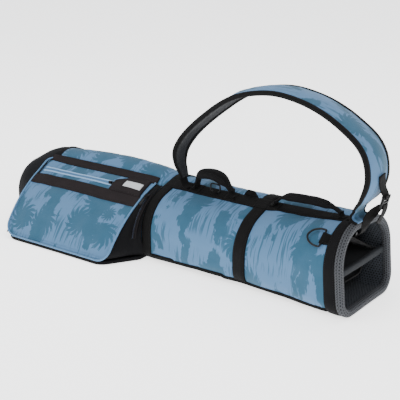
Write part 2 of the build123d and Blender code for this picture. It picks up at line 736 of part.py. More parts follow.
def strap_pivots():
    """The two ends of the strap's swing line, above its feet's patches."""
    lift = PATCH_THICK + PIVOT_GAP + STRAP_PIVOT_R
    base_z = spine_top(STRAP_FOOT_X[0]) + lift
    rim_z = surface_z(RIM_FOOT_X, STRAP_Y) + UNDERSIDE + lift
    return (STRAP_FOOT_X[0], STRAP_Y, base_z), (STRAP_FOOT_X[1], STRAP_Y, rim_z)


def strap_section(x, z, turn, width, low, high):
    """A flat section across the strap; low and high are its faces, out from its line."""
    plane = Plane(origin=(x, STRAP_Y, z), x_dir=(0, 1, 0), z_dir=(cos(turn), 0, sin(turn)))
    return plane * Pos(0, (low + high) / 2) * Rectangle(width, high - low)


def strap_pad():
    """Shoulder pad: an arch over the bag that narrows to a rounded foot at each end."""
    first, last = strap_pivots()
    r = STRAP_PIVOT_R
    sections = [strap_section(first[0], first[2], pi / 2, 10, -r, r)]
    for index, (x, z, width) in enumerate(STRAP_LINE):
        before = STRAP_LINE[max(index - 1, 0)]
        after = STRAP_LINE[min(index + 1, len(STRAP_LINE) - 1)]
        turn = atan2(after[1] - before[1], after[0] - before[0])
        sections.append(strap_section(x, z, turn, width, 0, STRAP_THICK))
    sections.append(strap_section(last[0], last[2], -pi / 2, 10, -r, r))
    pad = loft(sections, ruled=True)
    for x, y, z in (first, last):
        pad += rod((x - r, y, z), (x + r, y, z), r)
    return pad


def strap_anchor_base():
    return patch(STRAP_FOOT_X[0] - 14, STRAP_FOOT_X[0] + 13, 13, WEBBING, WEBBING + PATCH_THICK)


def strap_anchor_mouth():
    low = UNDERSIDE
    return patch(BAND_X + 2, LIP_X - 2, 14, low, low + PATCH_THICK, STRAP_Y)


def flat_strip(start, end, width, thickness):
    """A straight piece of webbing between two points, lying across Y."""
    line = Line(start, end)
    plane = Plane(origin=line @ 0, x_dir=(0, 1, 0), z_dir=line % 0)
    return extrude(plane * Rectangle(width, thickness), amount=line.length, dir=line % 0)


LOCK_SIZE = (22.0, 27.0, 5.0)        # ladder lock: along the webbing, across it, thick
LOCK_BAR = 2.0


def lock_frame():
    """Plane on the ladder lock's top bar: x down the webbing, z out from the pad."""
    return Plane(origin=(464, 5, 220), x_dir=(-0.2, -0.1, -0.97), z_dir=(0.97, 0, -0.2))


def ladder_lock():
    """Plastic adjuster on the pad's outer side: a frame with three bars."""
    long, wide, thick = LOCK_SIZE
    frame = block(-LOCK_BAR, long, -wide / 2, wide / 2, -thick / 2, thick / 2)
    slot = wide / 2 - 3
    for low, high in ((LOCK_BAR, 8), (11.5, long - 3.5)):
        frame -= block(low, high, -slot, slot, -thick, thick)
    return lock_frame().location * frame


def strap_tab():
    """Webbing sewn to the pad, down to the ladder lock's top bar."""
    sewn = flat_strip((455.5, 5, 266), (459, 5, 240), 22, WEBBING)
    drop = flat_strip((459, 5, 240), (463, 5, 226), 20, WEBBING)
    return (sewn + drop) - strap_pad()


def strap_tether():
    """Webbing tail from under the ladder lock down towards the mouth."""
    return flat_strip((456.8, 4, 212), (440.5, -6, 189), 20, WEBBING) - strap_pad()


def tether_tail():
    """Its other end, which turns over the lip into the mouth."""
    points = [(432.5, STRAP_Y, 173), (431.5, STRAP_Y, 150), (413, STRAP_Y, 136)]
    strip = flat_strip(points[0], points[1], 20, WEBBING) + flat_strip(points[1], points[2], 20, WEBBING)
    return strip - mouth_lip() - upper_divider()


# ---------------------------------------------------------------- every sub-part
SUB_PARTS = {
    "front_panel": front_panel,
    "back_panel": back_panel,
    "bottom_panel": bottom_panel,
    "base_cup": base_cup,
    "base_board": base_board,
    "base_strip": base_strip,
    "spine_webbing": spine_webbing,
    "spine_stay": spine_stay,
    "mid_band": lambda: webbing_band(MID_BAND),
    "pocket_band": lambda: webbing_band(POCKET_BAND),
    "seam_binding_front": lambda: seam_binding(-1),
    "seam_binding_back": lambda: seam_binding(1),
    "rim_band": rim_band,
    "mouth_lip": mouth_lip,
    "mouth_hoop": mouth_hoop,
    "mouth_lining": mouth_lining,
    "main_divider": main_divider,
    "divider_bar": divider_bar,
    "upper_divider": upper_divider,
    "lower_divider": lower_divider,
    "pocket_face": pocket_face,
    "pocket_piping": pocket_piping,
    "pocket_top_panel": pocket_top_panel,
    "pocket_bottom": pocket_bottom,
    "gusset_mouth": gusset_mouth,
    "gusset_base": gusset_base,
    "top_trim": top_trim,
    "lower_trim": lower_trim,
    "zip_garage": zip_garage,
    "pocket_label": pocket_label,
    "valuables_zip": valuables_zip,
    "valuables_slider": valuables_slider,
    "valuables_pull": valuables_pull,
    "apparel_zip": apparel_zip,
    "apparel_slider": apparel_slider,
    "apparel_pull": apparel_pull,
    "lift_handle": lift_handle,
    "lift_anchors": lambda: anchors(LIFT_FEET, 13),
    "keeper_tab": keeper_tab,
    "keeper_ring": keeper_ring,
    "spine_patch": spine_patch,
    "tag_loop": tag_loop,
    "grab_handle": grab_handle,
    "grab_anchors": lambda: anchors(GRAB_FEET, 11),
    "d_ring": d_ring,
    "d_ring_tab": d_ring_tab,
    "strap_anchor_base": strap_anchor_base,
    "strap_anchor_mouth": strap_anchor_mouth,
    "strap_pad": strap_pad,
    "strap_tab": strap_tab,
    "ladder_lock": ladder_lock,
    "strap_tether": strap_tether,
    "tether_tail": tether_tail,
}

if __name__ == "__main__":
    for name, make in SUB_PARTS.items():
        write(name, make())
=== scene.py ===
"""A slim golf carry bag: its soft shell, straps and fittings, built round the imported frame.

Lengths in the shape code are millimetres, in the row frame; meshes are made in metres.
"""
import json
from math import asin, atan2, cos, exp, hypot, pi, radians, sin, sqrt

import bmesh
import bpy
import numpy as np
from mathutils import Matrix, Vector, noise


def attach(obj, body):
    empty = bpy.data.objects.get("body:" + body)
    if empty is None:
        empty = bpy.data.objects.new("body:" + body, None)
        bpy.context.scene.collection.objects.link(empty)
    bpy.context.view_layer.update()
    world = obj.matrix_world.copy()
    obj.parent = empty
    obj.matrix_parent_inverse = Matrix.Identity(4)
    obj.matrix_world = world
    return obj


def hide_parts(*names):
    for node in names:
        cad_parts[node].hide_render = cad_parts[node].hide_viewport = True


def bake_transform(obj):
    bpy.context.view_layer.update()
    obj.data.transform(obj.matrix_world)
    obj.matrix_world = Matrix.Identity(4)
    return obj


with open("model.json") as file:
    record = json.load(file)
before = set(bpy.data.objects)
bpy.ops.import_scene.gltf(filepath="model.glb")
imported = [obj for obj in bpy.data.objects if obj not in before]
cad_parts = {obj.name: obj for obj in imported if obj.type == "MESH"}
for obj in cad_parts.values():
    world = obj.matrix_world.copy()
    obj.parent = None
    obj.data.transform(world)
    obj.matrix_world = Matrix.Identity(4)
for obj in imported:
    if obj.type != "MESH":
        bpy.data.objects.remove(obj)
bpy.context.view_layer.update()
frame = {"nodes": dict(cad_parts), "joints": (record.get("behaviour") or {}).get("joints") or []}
MM = 0.001

# ---------------- sizes shared with the CAD
CUP_RIM_X, BAND_X, LIP_X = -385, 412, 432
# x, half width, crown, its drop to the front, front, back and corner radii, lean, lift
STATIONS = [
    (-445, 82, 138, 8, 62, 58, 30, 0, 4.5),
    (-436, 86, 147, 9, 66, 60, 28, 0, 2.5),
    (-415, 90, 155, 10, 70, 60, 26, 0, 2.5),
    (-385, 92, 160, 12, 76, 60, 24, 0, 2.5),
    (-362, 90, 160, 21, 78, 60, 22, 0, 2.5),
    (-200, 89, 161, 23, 78, 60, 22, 0, 2.5),
    (-54, 88, 158, 23, 78, 60, 22, 0, 2.5),
    (-44, 91, 158, 16, 78, 60, 22, 0, 2.5),
    (-20, 91, 158, 16, 78, 60, 22, 0, 2.5),
    (100, 88, 158, 16, 78, 60, 30, 0, 2.5),
    (205, 88, 160, 16, 78, 60, 36, 0, 2.5),
    (330, 91, 164, 10, 78, 62, 36, 0.04, 2.5),
    (412, 95, 166, 2, 76, 64, 34, 0.08, 2.5),
    (432, 96.5, 166, -2, 74, 64, 34, 0.1, 3.5),
    (445, 97, 165, -4, 74, 64, 34, 0.1, 5.5),
]
SPINE_Y, SPINE_WIDTH, WEBBING = -4, 27, 2
MID_BAND, POCKET_BAND = (191, 220), (-44, -20)
SPLIT_Z = 14
POCKET_X, POCKET_LOW_END = (-386, -66), -82
POCKET_TOP, POCKET_LOW, POCKET_BULGE = (-14, 147), (-172, 9), 20
POCKET_YAW = radians(2.6)
GARAGE_X = (-162, -78)
ZIP_LINE, ZIP_FROM_X = 36, -372
FLOOR_GAP = 0.05  # fabric rests this far above z = 0


# ---------------- small numeric helpers
def smooth(low, high, value):
    t = np.clip((np.asarray(value, float) - low) / (high - low), 0, 1)
    return t * t * (3 - 2 * t)


def unit(v):
    v = np.asarray(v, float)
    size = np.linalg.norm(v, axis=-1, keepdims=True)
    return v / np.where(size < 1e-9, 1, size)


def rough(points, scale, seed=0):
    """Smooth noise in -1..1 at each point; scale is the size of its lumps in mm."""
    flat = np.asarray(points, float).reshape(-1, np.shape(points)[-1]) / scale + seed
    return np.array([noise.noise(Vector(p)) for p in flat]).reshape(np.shape(points)[:-1])


def catmull(points, per_span):
    """A smooth line through points (any width of row), per_span steps for each span."""
    p = np.asarray(points, float)
    p = np.vstack([2 * p[0] - p[1], p, 2 * p[-1] - p[-2]])
    rows = []
    for k in range(1, len(p) - 2):
        for t in np.arange(per_span) / per_span:
            a = 2 * p[k]
            b = (p[k + 1] - p[k - 1]) * t
            c = (2 * p[k - 1] - 5 * p[k] + 4 * p[k + 1] - p[k + 2]) * t * t
            d = (-p[k - 1] + 3 * p[k] - 3 * p[k + 1] + p[k + 2]) * t ** 3
            rows.append((a + b + c + d) / 2)
    rows.append(p[-2])
    return np.array(rows)


def lengths(points):
    steps = np.linalg.norm(np.diff(points[:, :3], axis=0), axis=1)
    return np.concatenate([[0], np.cumsum(steps)])


def resample(points, spacing, closed=False):
    """Points at even spacing along a line; every column is carried along."""
    p = np.asarray(points, float)
    if closed:
        p = np.vstack([p, p[:1]])
    at = lengths(p)
    count = max(2, int(round(at[-1] / spacing)) + 1)
    where = np.linspace(0, at[-1], count)
    out = np.stack([np.interp(where, at, p[:, k]) for k in range(p.shape[1])], 1)
    return out[:-1] if closed else out


# ---------------- the bag's section
def station(x):
    rows = np.array(STATIONS)
    return [np.interp(x, rows[:, 0], rows[:, k]) for k in range(1, rows.shape[1])]


ARC_N, LINE_N = (12, 12, 26, 30), (22, 10, 16, 10)


def hull(circles):
    """First and last angle of each circle's arc in the outline that wraps them all."""
    ends = []
    for (u, v, r), (u2, v2, r2) in zip(circles, circles[1:] + circles[:1]):
        along = atan2(v2 - v, u2 - u)
        ends.append(along - pi / 2 + asin((r - r2) / hypot(u2 - u, v2 - v)))
    spans = []
    for k, high in enumerate(ends):
        while high < ends[k - 1]:
            high += 2 * pi
        spans.append((ends[k - 1], high))
    return spans


def section(x):
    """Points (y, z) and outward normals round the bag at x, from the middle of its floor."""
    half, crown, drop, front, back, corner, _, lift = station(x)
    circles = [
        (-half + corner, lift + corner, corner),
        (half - corner, lift + corner, corner),
        (half - back, crown - back, back),
        (-half + front, crown - drop - front, front),
    ]
    points, normals = [], []
    for k, ((u, v, r), (low, high)) in enumerate(zip(circles, hull(circles))):
        for turn in np.linspace(low, high, ARC_N[k]):
            normals.append((cos(turn), sin(turn)))
            points.append((u + r * normals[-1][0], v + r * normals[-1][1]))
        u2, v2, r2 = circles[(k + 1) % 4]
        end = (u2 + r2 * cos(high), v2 + r2 * sin(high))
        start = points[-1]
        for t in np.arange(1, LINE_N[k]) / LINE_N[k]:
            normals.append(normals[-1])
            points.append((start[0] + (end[0] - start[0]) * t, start[1] + (end[1] - start[1]) * t))
    start = ARC_N[0] + LINE_N[0] // 2
    order = np.arange(start, start + len(points) + 1) % len(points)
    return np.array(points)[order], np.array(normals)[order]


def skin(x, grow):
    """3-D points and normals round the bag at x, with the mouth's lean."""
    points, normals = section(x)
    lean = station(x)[6]
    points = points + normals * grow
    spots = np.column_stack([x - lean * points[:, 1], points])
    return spots, np.column_stack([np.zeros(len(normals)), normals])


def top_z(x, y, grow=0):
    """Height of the bag's surface above a point near its spine."""
    points, normals = section(x)
    points = points + normals * grow
    upper = points[:, 1] > 90
    order = np.argsort(points[upper, 0])
    return float(np.interp(y, points[upper, 0][order], points[upper, 1][order]))


def spine_top(x):
    return top_z(x, SPINE_Y) + WEBBING


def puff(x, spots, normals):
    """How far the stuffed fabric stands out between the bands that cinch it."""
    out = np.zeros(len(spots))
    cinched = ((CUP_RIM_X + 20, POCKET_BAND[0]), (POCKET_BAND[1], MID_BAND[0]),
               (MID_BAND[1], BAND_X))
    for low, high in cinched:
        if low < x < high:
            near = min(x - low, high - x)
            body = smooth(0, 28, near)
            lumps = rough(spots * (0.7, 1, 1), 75, 3.1) * 2.6
            lumps = lumps + rough(spots * (1.4, 1, 1), 30, 9.7) * 0.9
            creases = rough(spots * (0.25, 1, 1), 15, 5.2) * 1.8 * exp(-near / 22)
            out = 1.6 * body + lumps * body + creases * smooth(0, 6, near)
    flat = smooth(26, 6, spots[:, 2]) * (normals[:, 2] < -0.2)
    return np.clip(out, -2.5, 5.5) * (1 - flat)


def hoop_line(x, grow, above=SPLIT_Z + 3):
    """Points and normals round the bag at x, without its underside."""
    spots, normals = skin(x, grow)
    keep = spots[:, 2] > above
    return spots[keep], normals[keep]


# ---------------- mesh helpers
def finish_mesh(name, mesh, body, slot, mats, replaces="", padded=None):
    """Makes the piece, gives it its materials and body, and hides what it replaces; replaces holds
    one or more CAD nodes' names.
    """
    obj = bpy.data.objects.new(name, mesh)
    bpy.context.scene.collection.objects.link(obj)
    for mat in mats:
        mesh.materials.append(mat)
    if body:
        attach(obj, body)
    if replaces:
        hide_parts(*replaces.split())
    return obj


def build(name, verts, faces, uvs=None, face_mats=None, weld=True, recalc=False, soft=True):
    """A mesh in metres from millimetre verts; uvs are one (u, v) per face corner."""
    mesh = bpy.data.meshes.new(name)
    mesh.from_pydata((np.asarray(verts) * MM).tolist(), [], faces)
    if uvs is not None:
        layer = mesh.uv_layers.new(name="UVMap")
        layer.data.foreach_set("uv", np.asarray(uvs, np.float32).ravel())
    if face_mats is not None:
        mesh.polygons.foreach_set("material_index", np.asarray(face_mats, np.int32))
    if weld or recalc:
        bm = bmesh.new()
        bm.from_mesh(mesh)
        if weld:
            bmesh.ops.remove_doubles(bm, verts=bm.verts, dist=2e-6)
        if recalc:
            bmesh.ops.recalc_face_normals(bm, faces=bm.faces)
        bm.to_mesh(mesh)
        bm.free()
    mesh.polygons.foreach_set("use_smooth", [soft] * len(mesh.polygons))
    mesh.update()
    return mesh


def grid(P, UV):
    """Faces and corner uvs of a grid of points (n, m, 3)."""
    n, m = P.shape[:2]
    faces, uvs = [], []
    for i in range(n - 1):
        for j in range(m - 1):
            corners = [(i, j), (i + 1, j), (i + 1, j + 1), (i, j + 1)]
            faces.append([a * m + b for a, b in corners])
            uvs.extend(UV[a, b] for a, b in corners)
    return faces, uvs


def run_uv(P):
    """UVs in metres that follow the lengths of a grid's middle row and column."""
    u = lengths(P[:, P.shape[1] // 2]) * MM
    v = lengths(P[len(P) // 2]) * MM
    return np.stack(np.meshgrid(u, v, indexing="ij"), -1)


def surface(name, P, slot, mats, UV=None, outward=None, face_mats=None, **rest):
    """An open surface of the bag; outward is a point that its normals face away from."""
    UV = run_uv(P) if UV is None else UV
    if outward is not None:
        a, b = P[1:, :-1] - P[:-1, :-1], P[:-1, 1:] - P[:-1, :-1]
        away = P[:-1, :-1] - np.asarray(outward, float)
        if (np.cross(a, b) * away).sum() < 0:
            P, UV = P[:, ::-1], UV[:, ::-1]
            if face_mats is not None:
                face_mats = np.asarray(face_mats)[:, ::-1]
    faces, uvs = grid(P, UV)
    kinds = None if face_mats is None else np.asarray(face_mats).ravel()
    mesh = build(name, P.reshape(-1, 3), faces, uvs, kinds)
    return finish_mesh(name, mesh, "bag", slot, mats, **rest)


def tube(name, P, body, slot, mats, closed=False, kinds=None, **rest):
    """A grid of points whose rows close on themselves; its ends are capped if it is open."""
    faces, uvs = grid(P, run_uv(P))
    n, m = P.shape[:2]
    if not closed:
        faces += [list(range(m - 1)), [(n - 1) * m + k for k in range(m - 1)]]
        uvs += [(0, 0)] * (2 * (m - 1))
    mesh = build(name, P.reshape(-1, 3), faces, uvs, kinds, recalc=True)
    return finish_mesh(name, mesh, body, slot, mats, **rest)


def sweep(name, line, side, profile, body, slot, mats, closed=False, **rest):
    """A closed profile (k, 2) or (n, k, 2) carried along a line; side gives its first axis."""
    line = np.asarray(line, float)
    if closed:
        ahead, behind = np.roll(line, -1, 0), np.roll(line, 1, 0)
    else:
        ahead, behind = np.vstack([line[1:], line[-1:]]), np.vstack([line[:1], line[:-1]])
    tangent = unit(ahead - behind)
    side = np.broadcast_to(np.asarray(side, float), line.shape)
    side = unit(side - tangent * (side * tangent).sum(1, keepdims=True))
    up = np.cross(tangent, side)
    profile = np.broadcast_to(profile, (len(line),) + np.shape(profile)[-2:])
    P = line[:, None] + side[:, None] * profile[:, :, :1] + up[:, None] * profile[:, :, 1:]
    P = np.concatenate([P, P[:, :1]], 1)
    if closed:
        P = np.concatenate([P, P[:1]], 0)
    return tube(name, P, body, slot, mats, closed, **rest)


def oblong(width, thick, radius, steps=4):
    """A rectangle's outline with rounded corners, anticlockwise."""
    r = min(radius, thick / 2 - 1e-3, width / 2 - 1e-3)
    x, y = width / 2 - r, thick / 2 - r
    out = []
    for cx, cy, turn in ((1, 1, 0), (-1, 1, 90), (-1, -1, 180), (1, -1, 270)):
        for a in np.radians(np.linspace(turn, turn + 90, steps)):
            out.append((cx * x + r * cos(a), cy * y + r * sin(a)))
    return np.array(out)


def oval(width, thick, count=16, power=2):
    turn = np.linspace(0, 2 * pi, count, endpoint=False)
    c, s = np.cos(turn), np.sin(turn)
    return np.column_stack([
        np.sign(c) * np.abs(c) ** (2 / power) * width / 2,
        np.sign(s) * np.abs(s) ** (2 / power) * thick / 2,
    ])


def slab(name, spot, a_span, b_span, counts, height, slot, mats, edge=1.2, sink=-0.6, **rest):
    """A thin sewn layer on a surface; spot(a, b, out) gives its points in mm."""
    def spread(low, high, count):
        e = edge / 2
        inner = np.linspace(low + e, high - e, count)
        return (np.concatenate([[low, low], inner, [high, high]]),
                np.concatenate([[0, 0.55], np.ones(count), [0.55, 0]]))
    a, ha = spread(*a_span, counts[0])
    b, hb = spread(*b_span, counts[1])
    out = sink + (height - sink) * np.minimum(ha[:, None], hb[None])
    P = np.array([[spot(u, v, out[i, j]) for j, v in enumerate(b)] for i, u in enumerate(a)])
    UV = np.stack(np.meshgrid(a * MM, b * MM, indexing="ij"), -1)
    inside = np.array(spot(a.mean(), b.mean(), -60))
    outward = inside + (inside - P.mean((0, 1))) * 0.01
    return surface(name, P, slot, mats, UV=UV, outward=outward, **rest)


def beads(points, normals, pitch, rise=0):
    """Even spots along a line, each with its directions along, across and out."""
    normals = np.broadcast_to(normals, np.shape(points))
    both = resample(np.column_stack([points, normals]), pitch)
    out = unit(both[:, 3:])
    p = both[:, :3] + out * rise
    along = unit(np.vstack([p[1:] - p[:-1], p[-1:] - p[-2:-1]]))
    return zip(p, along, unit(np.cross(along, out)), out)


def add_bead(verts, faces, centre, a, b, c):
    """Adds an eight-sided bead with half-axes a, b and c."""
    k = len(verts)
    verts += [centre - a, centre + b, centre + c, centre - b, centre - c, centre + a]
    ring = ((1, 2), (2, 3), (3, 4), (4, 1))
    faces += [[k, k + i, k + j] for i, j in ring] + [[k + 5, k + j, k + i] for i, j in ring]


def stitches(name, lines, body, slot, mat, pitch=3.6, long=2.5, r=0.42, rise=0.15):
    """Rows of sewing thread; each line is (points, outward normals)."""
    verts, faces = [], []
    for points, normals in lines:
        for c, t, s, o in beads(points, normals, pitch, rise):
            add_bead(verts, faces, c, t * long / 2, s * r, o * r)
    return finish_mesh(name, build(name, verts, faces, weld=False), body, slot, [mat])


def solid_boxes(name, boxes, place, body, slot, mats, bevel=0.5, **rest):
    """Bevelled blocks (x0, x1, y0, y1, z0, z1) in a local frame, joined in one mesh."""
    bm = bmesh.new()
    for x0, x1, y0, y1, z0, z1 in boxes:
        made = bmesh.ops.create_cube(bm, size=1)["verts"]
        middle, size = Vector((x0 + x1, y0 + y1, z0 + z1)) / 2, Vector((x1 - x0, y1 - y0, z1 - z0))
        for v in made:
            v.co = middle + v.co * size
    bmesh.ops.bevel(bm, geom=bm.edges[:], offset=bevel, segments=2, affect="EDGES", profile=0.6)
    for v in bm.verts:
        v.co = Vector(place(v.co.x, v.co.y, v.co.z)) * MM
    mesh = bpy.data.meshes.new(name)
    bmesh.ops.recalc_face_normals(bm, faces=bm.faces)
    bm.to_mesh(mesh)
    bm.free()
    mesh.polygons.foreach_set("use_smooth", [True] * len(mesh.polygons))
    return finish_mesh(name, mesh, body, slot, mats, **rest)


# ---------------- materials
class Paint:
    """A node material with short helpers for its maths."""

    def __init__(self, name, rough_value=0.8, sheen=0, specular=0.3, metallic=0):
        self.mat = bpy.data.materials.new(name)
        self.mat.use_nodes = True
        self.tree = self.mat.node_tree
        self.shader = self.tree.nodes["Principled BSDF"]
        self.shader.inputs["Roughness"].default_value = rough_value
        self.shader.inputs["Specular IOR Level"].default_value = specular
        self.shader.inputs["Metallic"].default_value = metallic
        self.shader.inputs["Sheen Weight"].default_value = sheen
        self.shader.inputs["Sheen Roughness"].default_value = 0.5

    def node(self, kind, **inputs):
        made = self.tree.nodes.new(kind)
        for key, value in inputs.items():
            self.feed(made.inputs[key.replace("_", " ")], value)
        return made

    def feed(self, socket, value):
        if isinstance(value, bpy.types.NodeSocket):
            self.tree.links.new(value, socket)
        else:
            socket.default_value = value

    def math(self, operation, *values, kind="ShaderNodeMath"):
        made = self.tree.nodes.new(kind)
        made.operation = operation
        for socket, value in zip(made.inputs, values):
            self.feed(socket, value)
        return made.outputs[0]

    def mul(self, a, b):
        return self.math("MULTIPLY", a, b)

    def mad(self, a, b, c):
        """a times b plus c."""
        return self.math("MULTIPLY_ADD", a, b, c)

    def uv(self):
        return self.node("ShaderNodeUVMap").outputs[0]

    def place(self):
        return self.node("ShaderNodeTexCoord").outputs["Object"]

    def split(self, vector):
        made = self.node("ShaderNodeSeparateXYZ", Vector=vector)
        return made.outputs[0], made.outputs[1], made.outputs[2]

    def join(self, x, y, z=0):
        return self.node("ShaderNodeCombineXYZ", X=x, Y=y, Z=z).outputs[0]

    def noise(self, vector, scale, detail=3, roughness=0.5, distortion=0):
        made = self.node("ShaderNodeTexNoise", Vector=vector, Scale=scale, Detail=detail,
                         Roughness=roughness, Distortion=distortion)
        return made.outputs["Fac"]

    def ramp(self, value, low, high):
        made = self.node("ShaderNodeMapRange", Value=value, From_Min=low, From_Max=high)
        made.interpolation_type = "SMOOTHSTEP"
        return made.outputs[0]

    def blend(self, share, a, b):
        made = self.tree.nodes.new("ShaderNodeMix")
        made.data_type = "RGBA"
        self.feed(made.inputs[0], share)
        self.feed(made.inputs[6], a)
        self.feed(made.inputs[7], b)
        return made.outputs[2]

    def waves(self, value, period):
        """A sine of a length, in 0..1."""
        turned = self.mul(value, 2 * pi / period)
        return self.mad(self.math("SINE", turned), 0.5, 0.5)

    def colour(self, value):
        self.feed(self.shader.inputs["Base Color"], value)

    def roughness(self, value):
        self.feed(self.shader.inputs["Roughness"], value)

    def bump(self, height, distance, strength=1):
        made = self.node("ShaderNodeBump", Height=height, Distance=distance, Strength=strength)
        self.feed(self.shader.inputs["Normal"], made.outputs[0])


def rgb(r, g, b):
    """A display colour (0 to 255) as the linear colour that a shader wants."""
    linear = [((c / 255 + 0.055) / 1.055) ** 2.4 if c > 10 else c / 255 / 12.92 for c in (r, g, b)]
    return (*linear, 1)


def weave(p, period, coords):
    """Crossed threads, in 0..1."""
    u, v, _ = p.split(coords)
    a, b = p.waves(u, period), p.waves(v, period)
    return p.mul(a, b)


LIGHT, DARK, MID = rgb(70, 106, 140), rgb(27, 73, 96), rgb(50, 92, 122)


def print_fabric(name, turn=0, scale=1):
    """Woven polyester with a generic print: brush strokes, drips and ragged leafy bursts."""
    p = Paint(name, rough_value=0.82, sheen=0.12, specular=0.25)
    uv = p.uv()
    turned = p.node("ShaderNodeMapping", Vector=uv)
    turned.inputs["Rotation"].default_value = (0, 0, turn)
    turned.inputs["Scale"].default_value = (scale, scale, 1)
    flat = turned.outputs[0]
    x, y, _ = p.split(flat)
    ragged = p.noise(p.join(p.mul(x, 3), y), 60, 4, 0.65)
    sway = p.mad(p.noise(flat, 9, 2), 0.05, -0.025)
    fray = p.mad(ragged, 0.03, -0.015)
    x_in = p.math("ADD", p.math("ADD", x, sway), fray)
    strokes = p.noise(p.join(p.mul(x_in, 2.8), y), 8.5, 3, 0.5)
    strokes = p.ramp(strokes, 0.525, 0.545)
    cells = p.node("ShaderNodeTexVoronoi", Vector=flat, Scale=12.5, Randomness=0.9)
    cells.voronoi_dimensions = "2D"
    away = p.math("SUBTRACT", flat, cells.outputs["Position"], kind="ShaderNodeVectorMath")
    ax, ay, _ = p.split(away)
    reach = cells.outputs["Distance"]
    angle = p.math("ARCTAN2", ay, ax)
    bend = p.mad(reach, 2.2, angle)
    leaves = p.math("ABSOLUTE", p.math("SINE", p.mul(bend, 6.5)))
    fringe = p.math("ABSOLUTE", p.math("SINE", p.mul(bend, 23)))
    limit = p.mad(leaves, 0.2, 0.13)
    limit = p.mad(fringe, 0.09, limit)
    limit = p.mad(ragged, 0.12, limit)
    which = p.split(cells.outputs["Color"])[0]
    limit = p.mul(limit, p.ramp(which, 0.4, 0.52))
    burst = p.ramp(p.math("SUBTRACT", limit, reach), -0.01, 0.012)
    gentle = p.mad(sway, 0.5, x)
    drips = p.noise(p.join(p.mul(gentle, 17), y), 11, 2, 0.55)
    patchy = p.ramp(p.noise(flat, 11, 1), 0.44, 0.56)
    drips = p.mul(p.ramp(drips, 0.53, 0.58), patchy)
    dark = p.math("MAXIMUM", strokes, burst)
    base = p.blend(p.mul(drips, 0.85), LIGHT, DARK)
    veins = p.mul(p.mul(p.ramp(fringe, 0.16, 0.05), burst), 0.55)
    shade = p.blend(veins, DARK, MID)
    inked = p.blend(dark, base, shade)
    faded = p.noise(flat, 26, 4, 0.6)
    worn = p.blend(p.mad(faded, 0.22, -0.06), inked, rgb(96, 130, 164))
    threads = weave(p, 0.0012, uv)
    p.colour(p.blend(p.mul(threads, 0.1), worn, rgb(20, 44, 68)))
    p.roughness(p.mad(faded, 0.18, 0.7))
    crumple = p.noise(uv, 45, 4, 0.55)
    height = p.mad(threads, 0.08, p.mul(crumple, 1))
    p.bump(height, 0.0016, 0.55)
    return p.mat


def cloth(name, colour, tint, period=0.0012, crumple=0.0012, rough_value=0.85, sheen=0.15,
          specular=0.25, twill=False):
    """Plain woven cloth: threads, uneven dye and soft creases."""
    p = Paint(name, rough_value=rough_value, sheen=sheen, specular=specular)
    uv = p.uv()
    if twill:
        u, v, _ = p.split(uv)
        threads = p.waves(p.math("ADD", u, v), period)
    else:
        threads = weave(p, period, uv)
    dye = p.noise(uv, 30, 4, 0.6)
    colour, tint = rgb(*colour), rgb(*tint)
    mixed = p.blend(p.mad(dye, 0.8, -0.1), colour, tint)
    p.colour(p.blend(p.mul(threads, 0.3), mixed, tint))
    p.roughness(p.mad(dye, 0.2, rough_value - 0.1))
    height = p.mad(threads, 0.2, p.noise(uv, 60, 3, 0.5))
    p.bump(height, crumple, 0.5)
    return p.mat


def ribbed(name, colour, tint, period=0.0022, depth=0.0006, sheen=0.2):
    """Webbing or grosgrain: ribs, with a broken herringbone between them."""
    p = Paint(name, rough_value=0.85, sheen=sheen, specular=0.12)
    u, v, _ = p.split(p.uv())
    ribs = p.waves(u, period)
    chevron = p.math("PINGPONG", v, period * 1.6)
    slant = p.waves(p.math("ADD", u, chevron), period)
    threads = p.mad(ribs, 0.5, p.mul(slant, 0.5))
    fuzz = p.noise(p.uv(), 220, 3, 0.7)
    p.colour(p.blend(p.mul(threads, fuzz), rgb(*colour), rgb(*tint)))
    p.roughness(p.mad(fuzz, 0.25, 0.68))
    p.bump(p.mad(fuzz, 0.3, threads), depth, 0.7)
    return p.mat


def holed_mesh(name, colour, hole, pitch):
    """Spacer mesh: a zigzag knit round rows of dark holes."""
    p = Paint(name, rough_value=0.85, sheen=0.04, specular=0.15)
    u, v, _ = p.split(p.uv())
    row = p.math("FLOOR", p.math("DIVIDE", v, pitch * 0.9))
    shift = p.mul(p.math("MODULO", row, 2), pitch / 2)
    a = p.waves(p.math("ADD", u, shift), pitch)
    b = p.waves(v, pitch * 0.9)
    spots = p.mul(a, b)
    holes = p.ramp(spots, 0.34, 0.62)
    fuzz = p.noise(p.uv(), 300, 2, 0.6)
    colour, hole = rgb(*colour), rgb(*hole)
    knit = p.blend(p.mul(fuzz, 0.35), colour, hole)
    p.colour(p.blend(holes, knit, hole))
    p.roughness(p.mad(fuzz, 0.2, 0.72))
    height = p.math("SUBTRACT", p.mul(fuzz, 0.25), holes)
    p.bump(height, 0.0012, 0.9)
    return p.mat


def moulded(name, colour, tint, rough_value=0.45, specular=0.5, metallic=0, grain=900):
    """Plastic or painted metal: fine grain, with paler worn high spots."""
    p = Paint(name, rough_value=rough_value, specular=specular, metallic=metallic)
    place = p.place()
    fine = p.noise(place, grain, 2, 0.6)
    wear = p.ramp(p.noise(place, 90, 5, 0.7), 0.55, 0.75)
    p.colour(p.blend(p.mul(wear, 0.5), rgb(*colour), rgb(*tint)))
    p.roughness(p.mad(fine, 0.22, rough_value - 0.1))
    p.bump(fine, 0.00012, 0.6)
    return p.mat


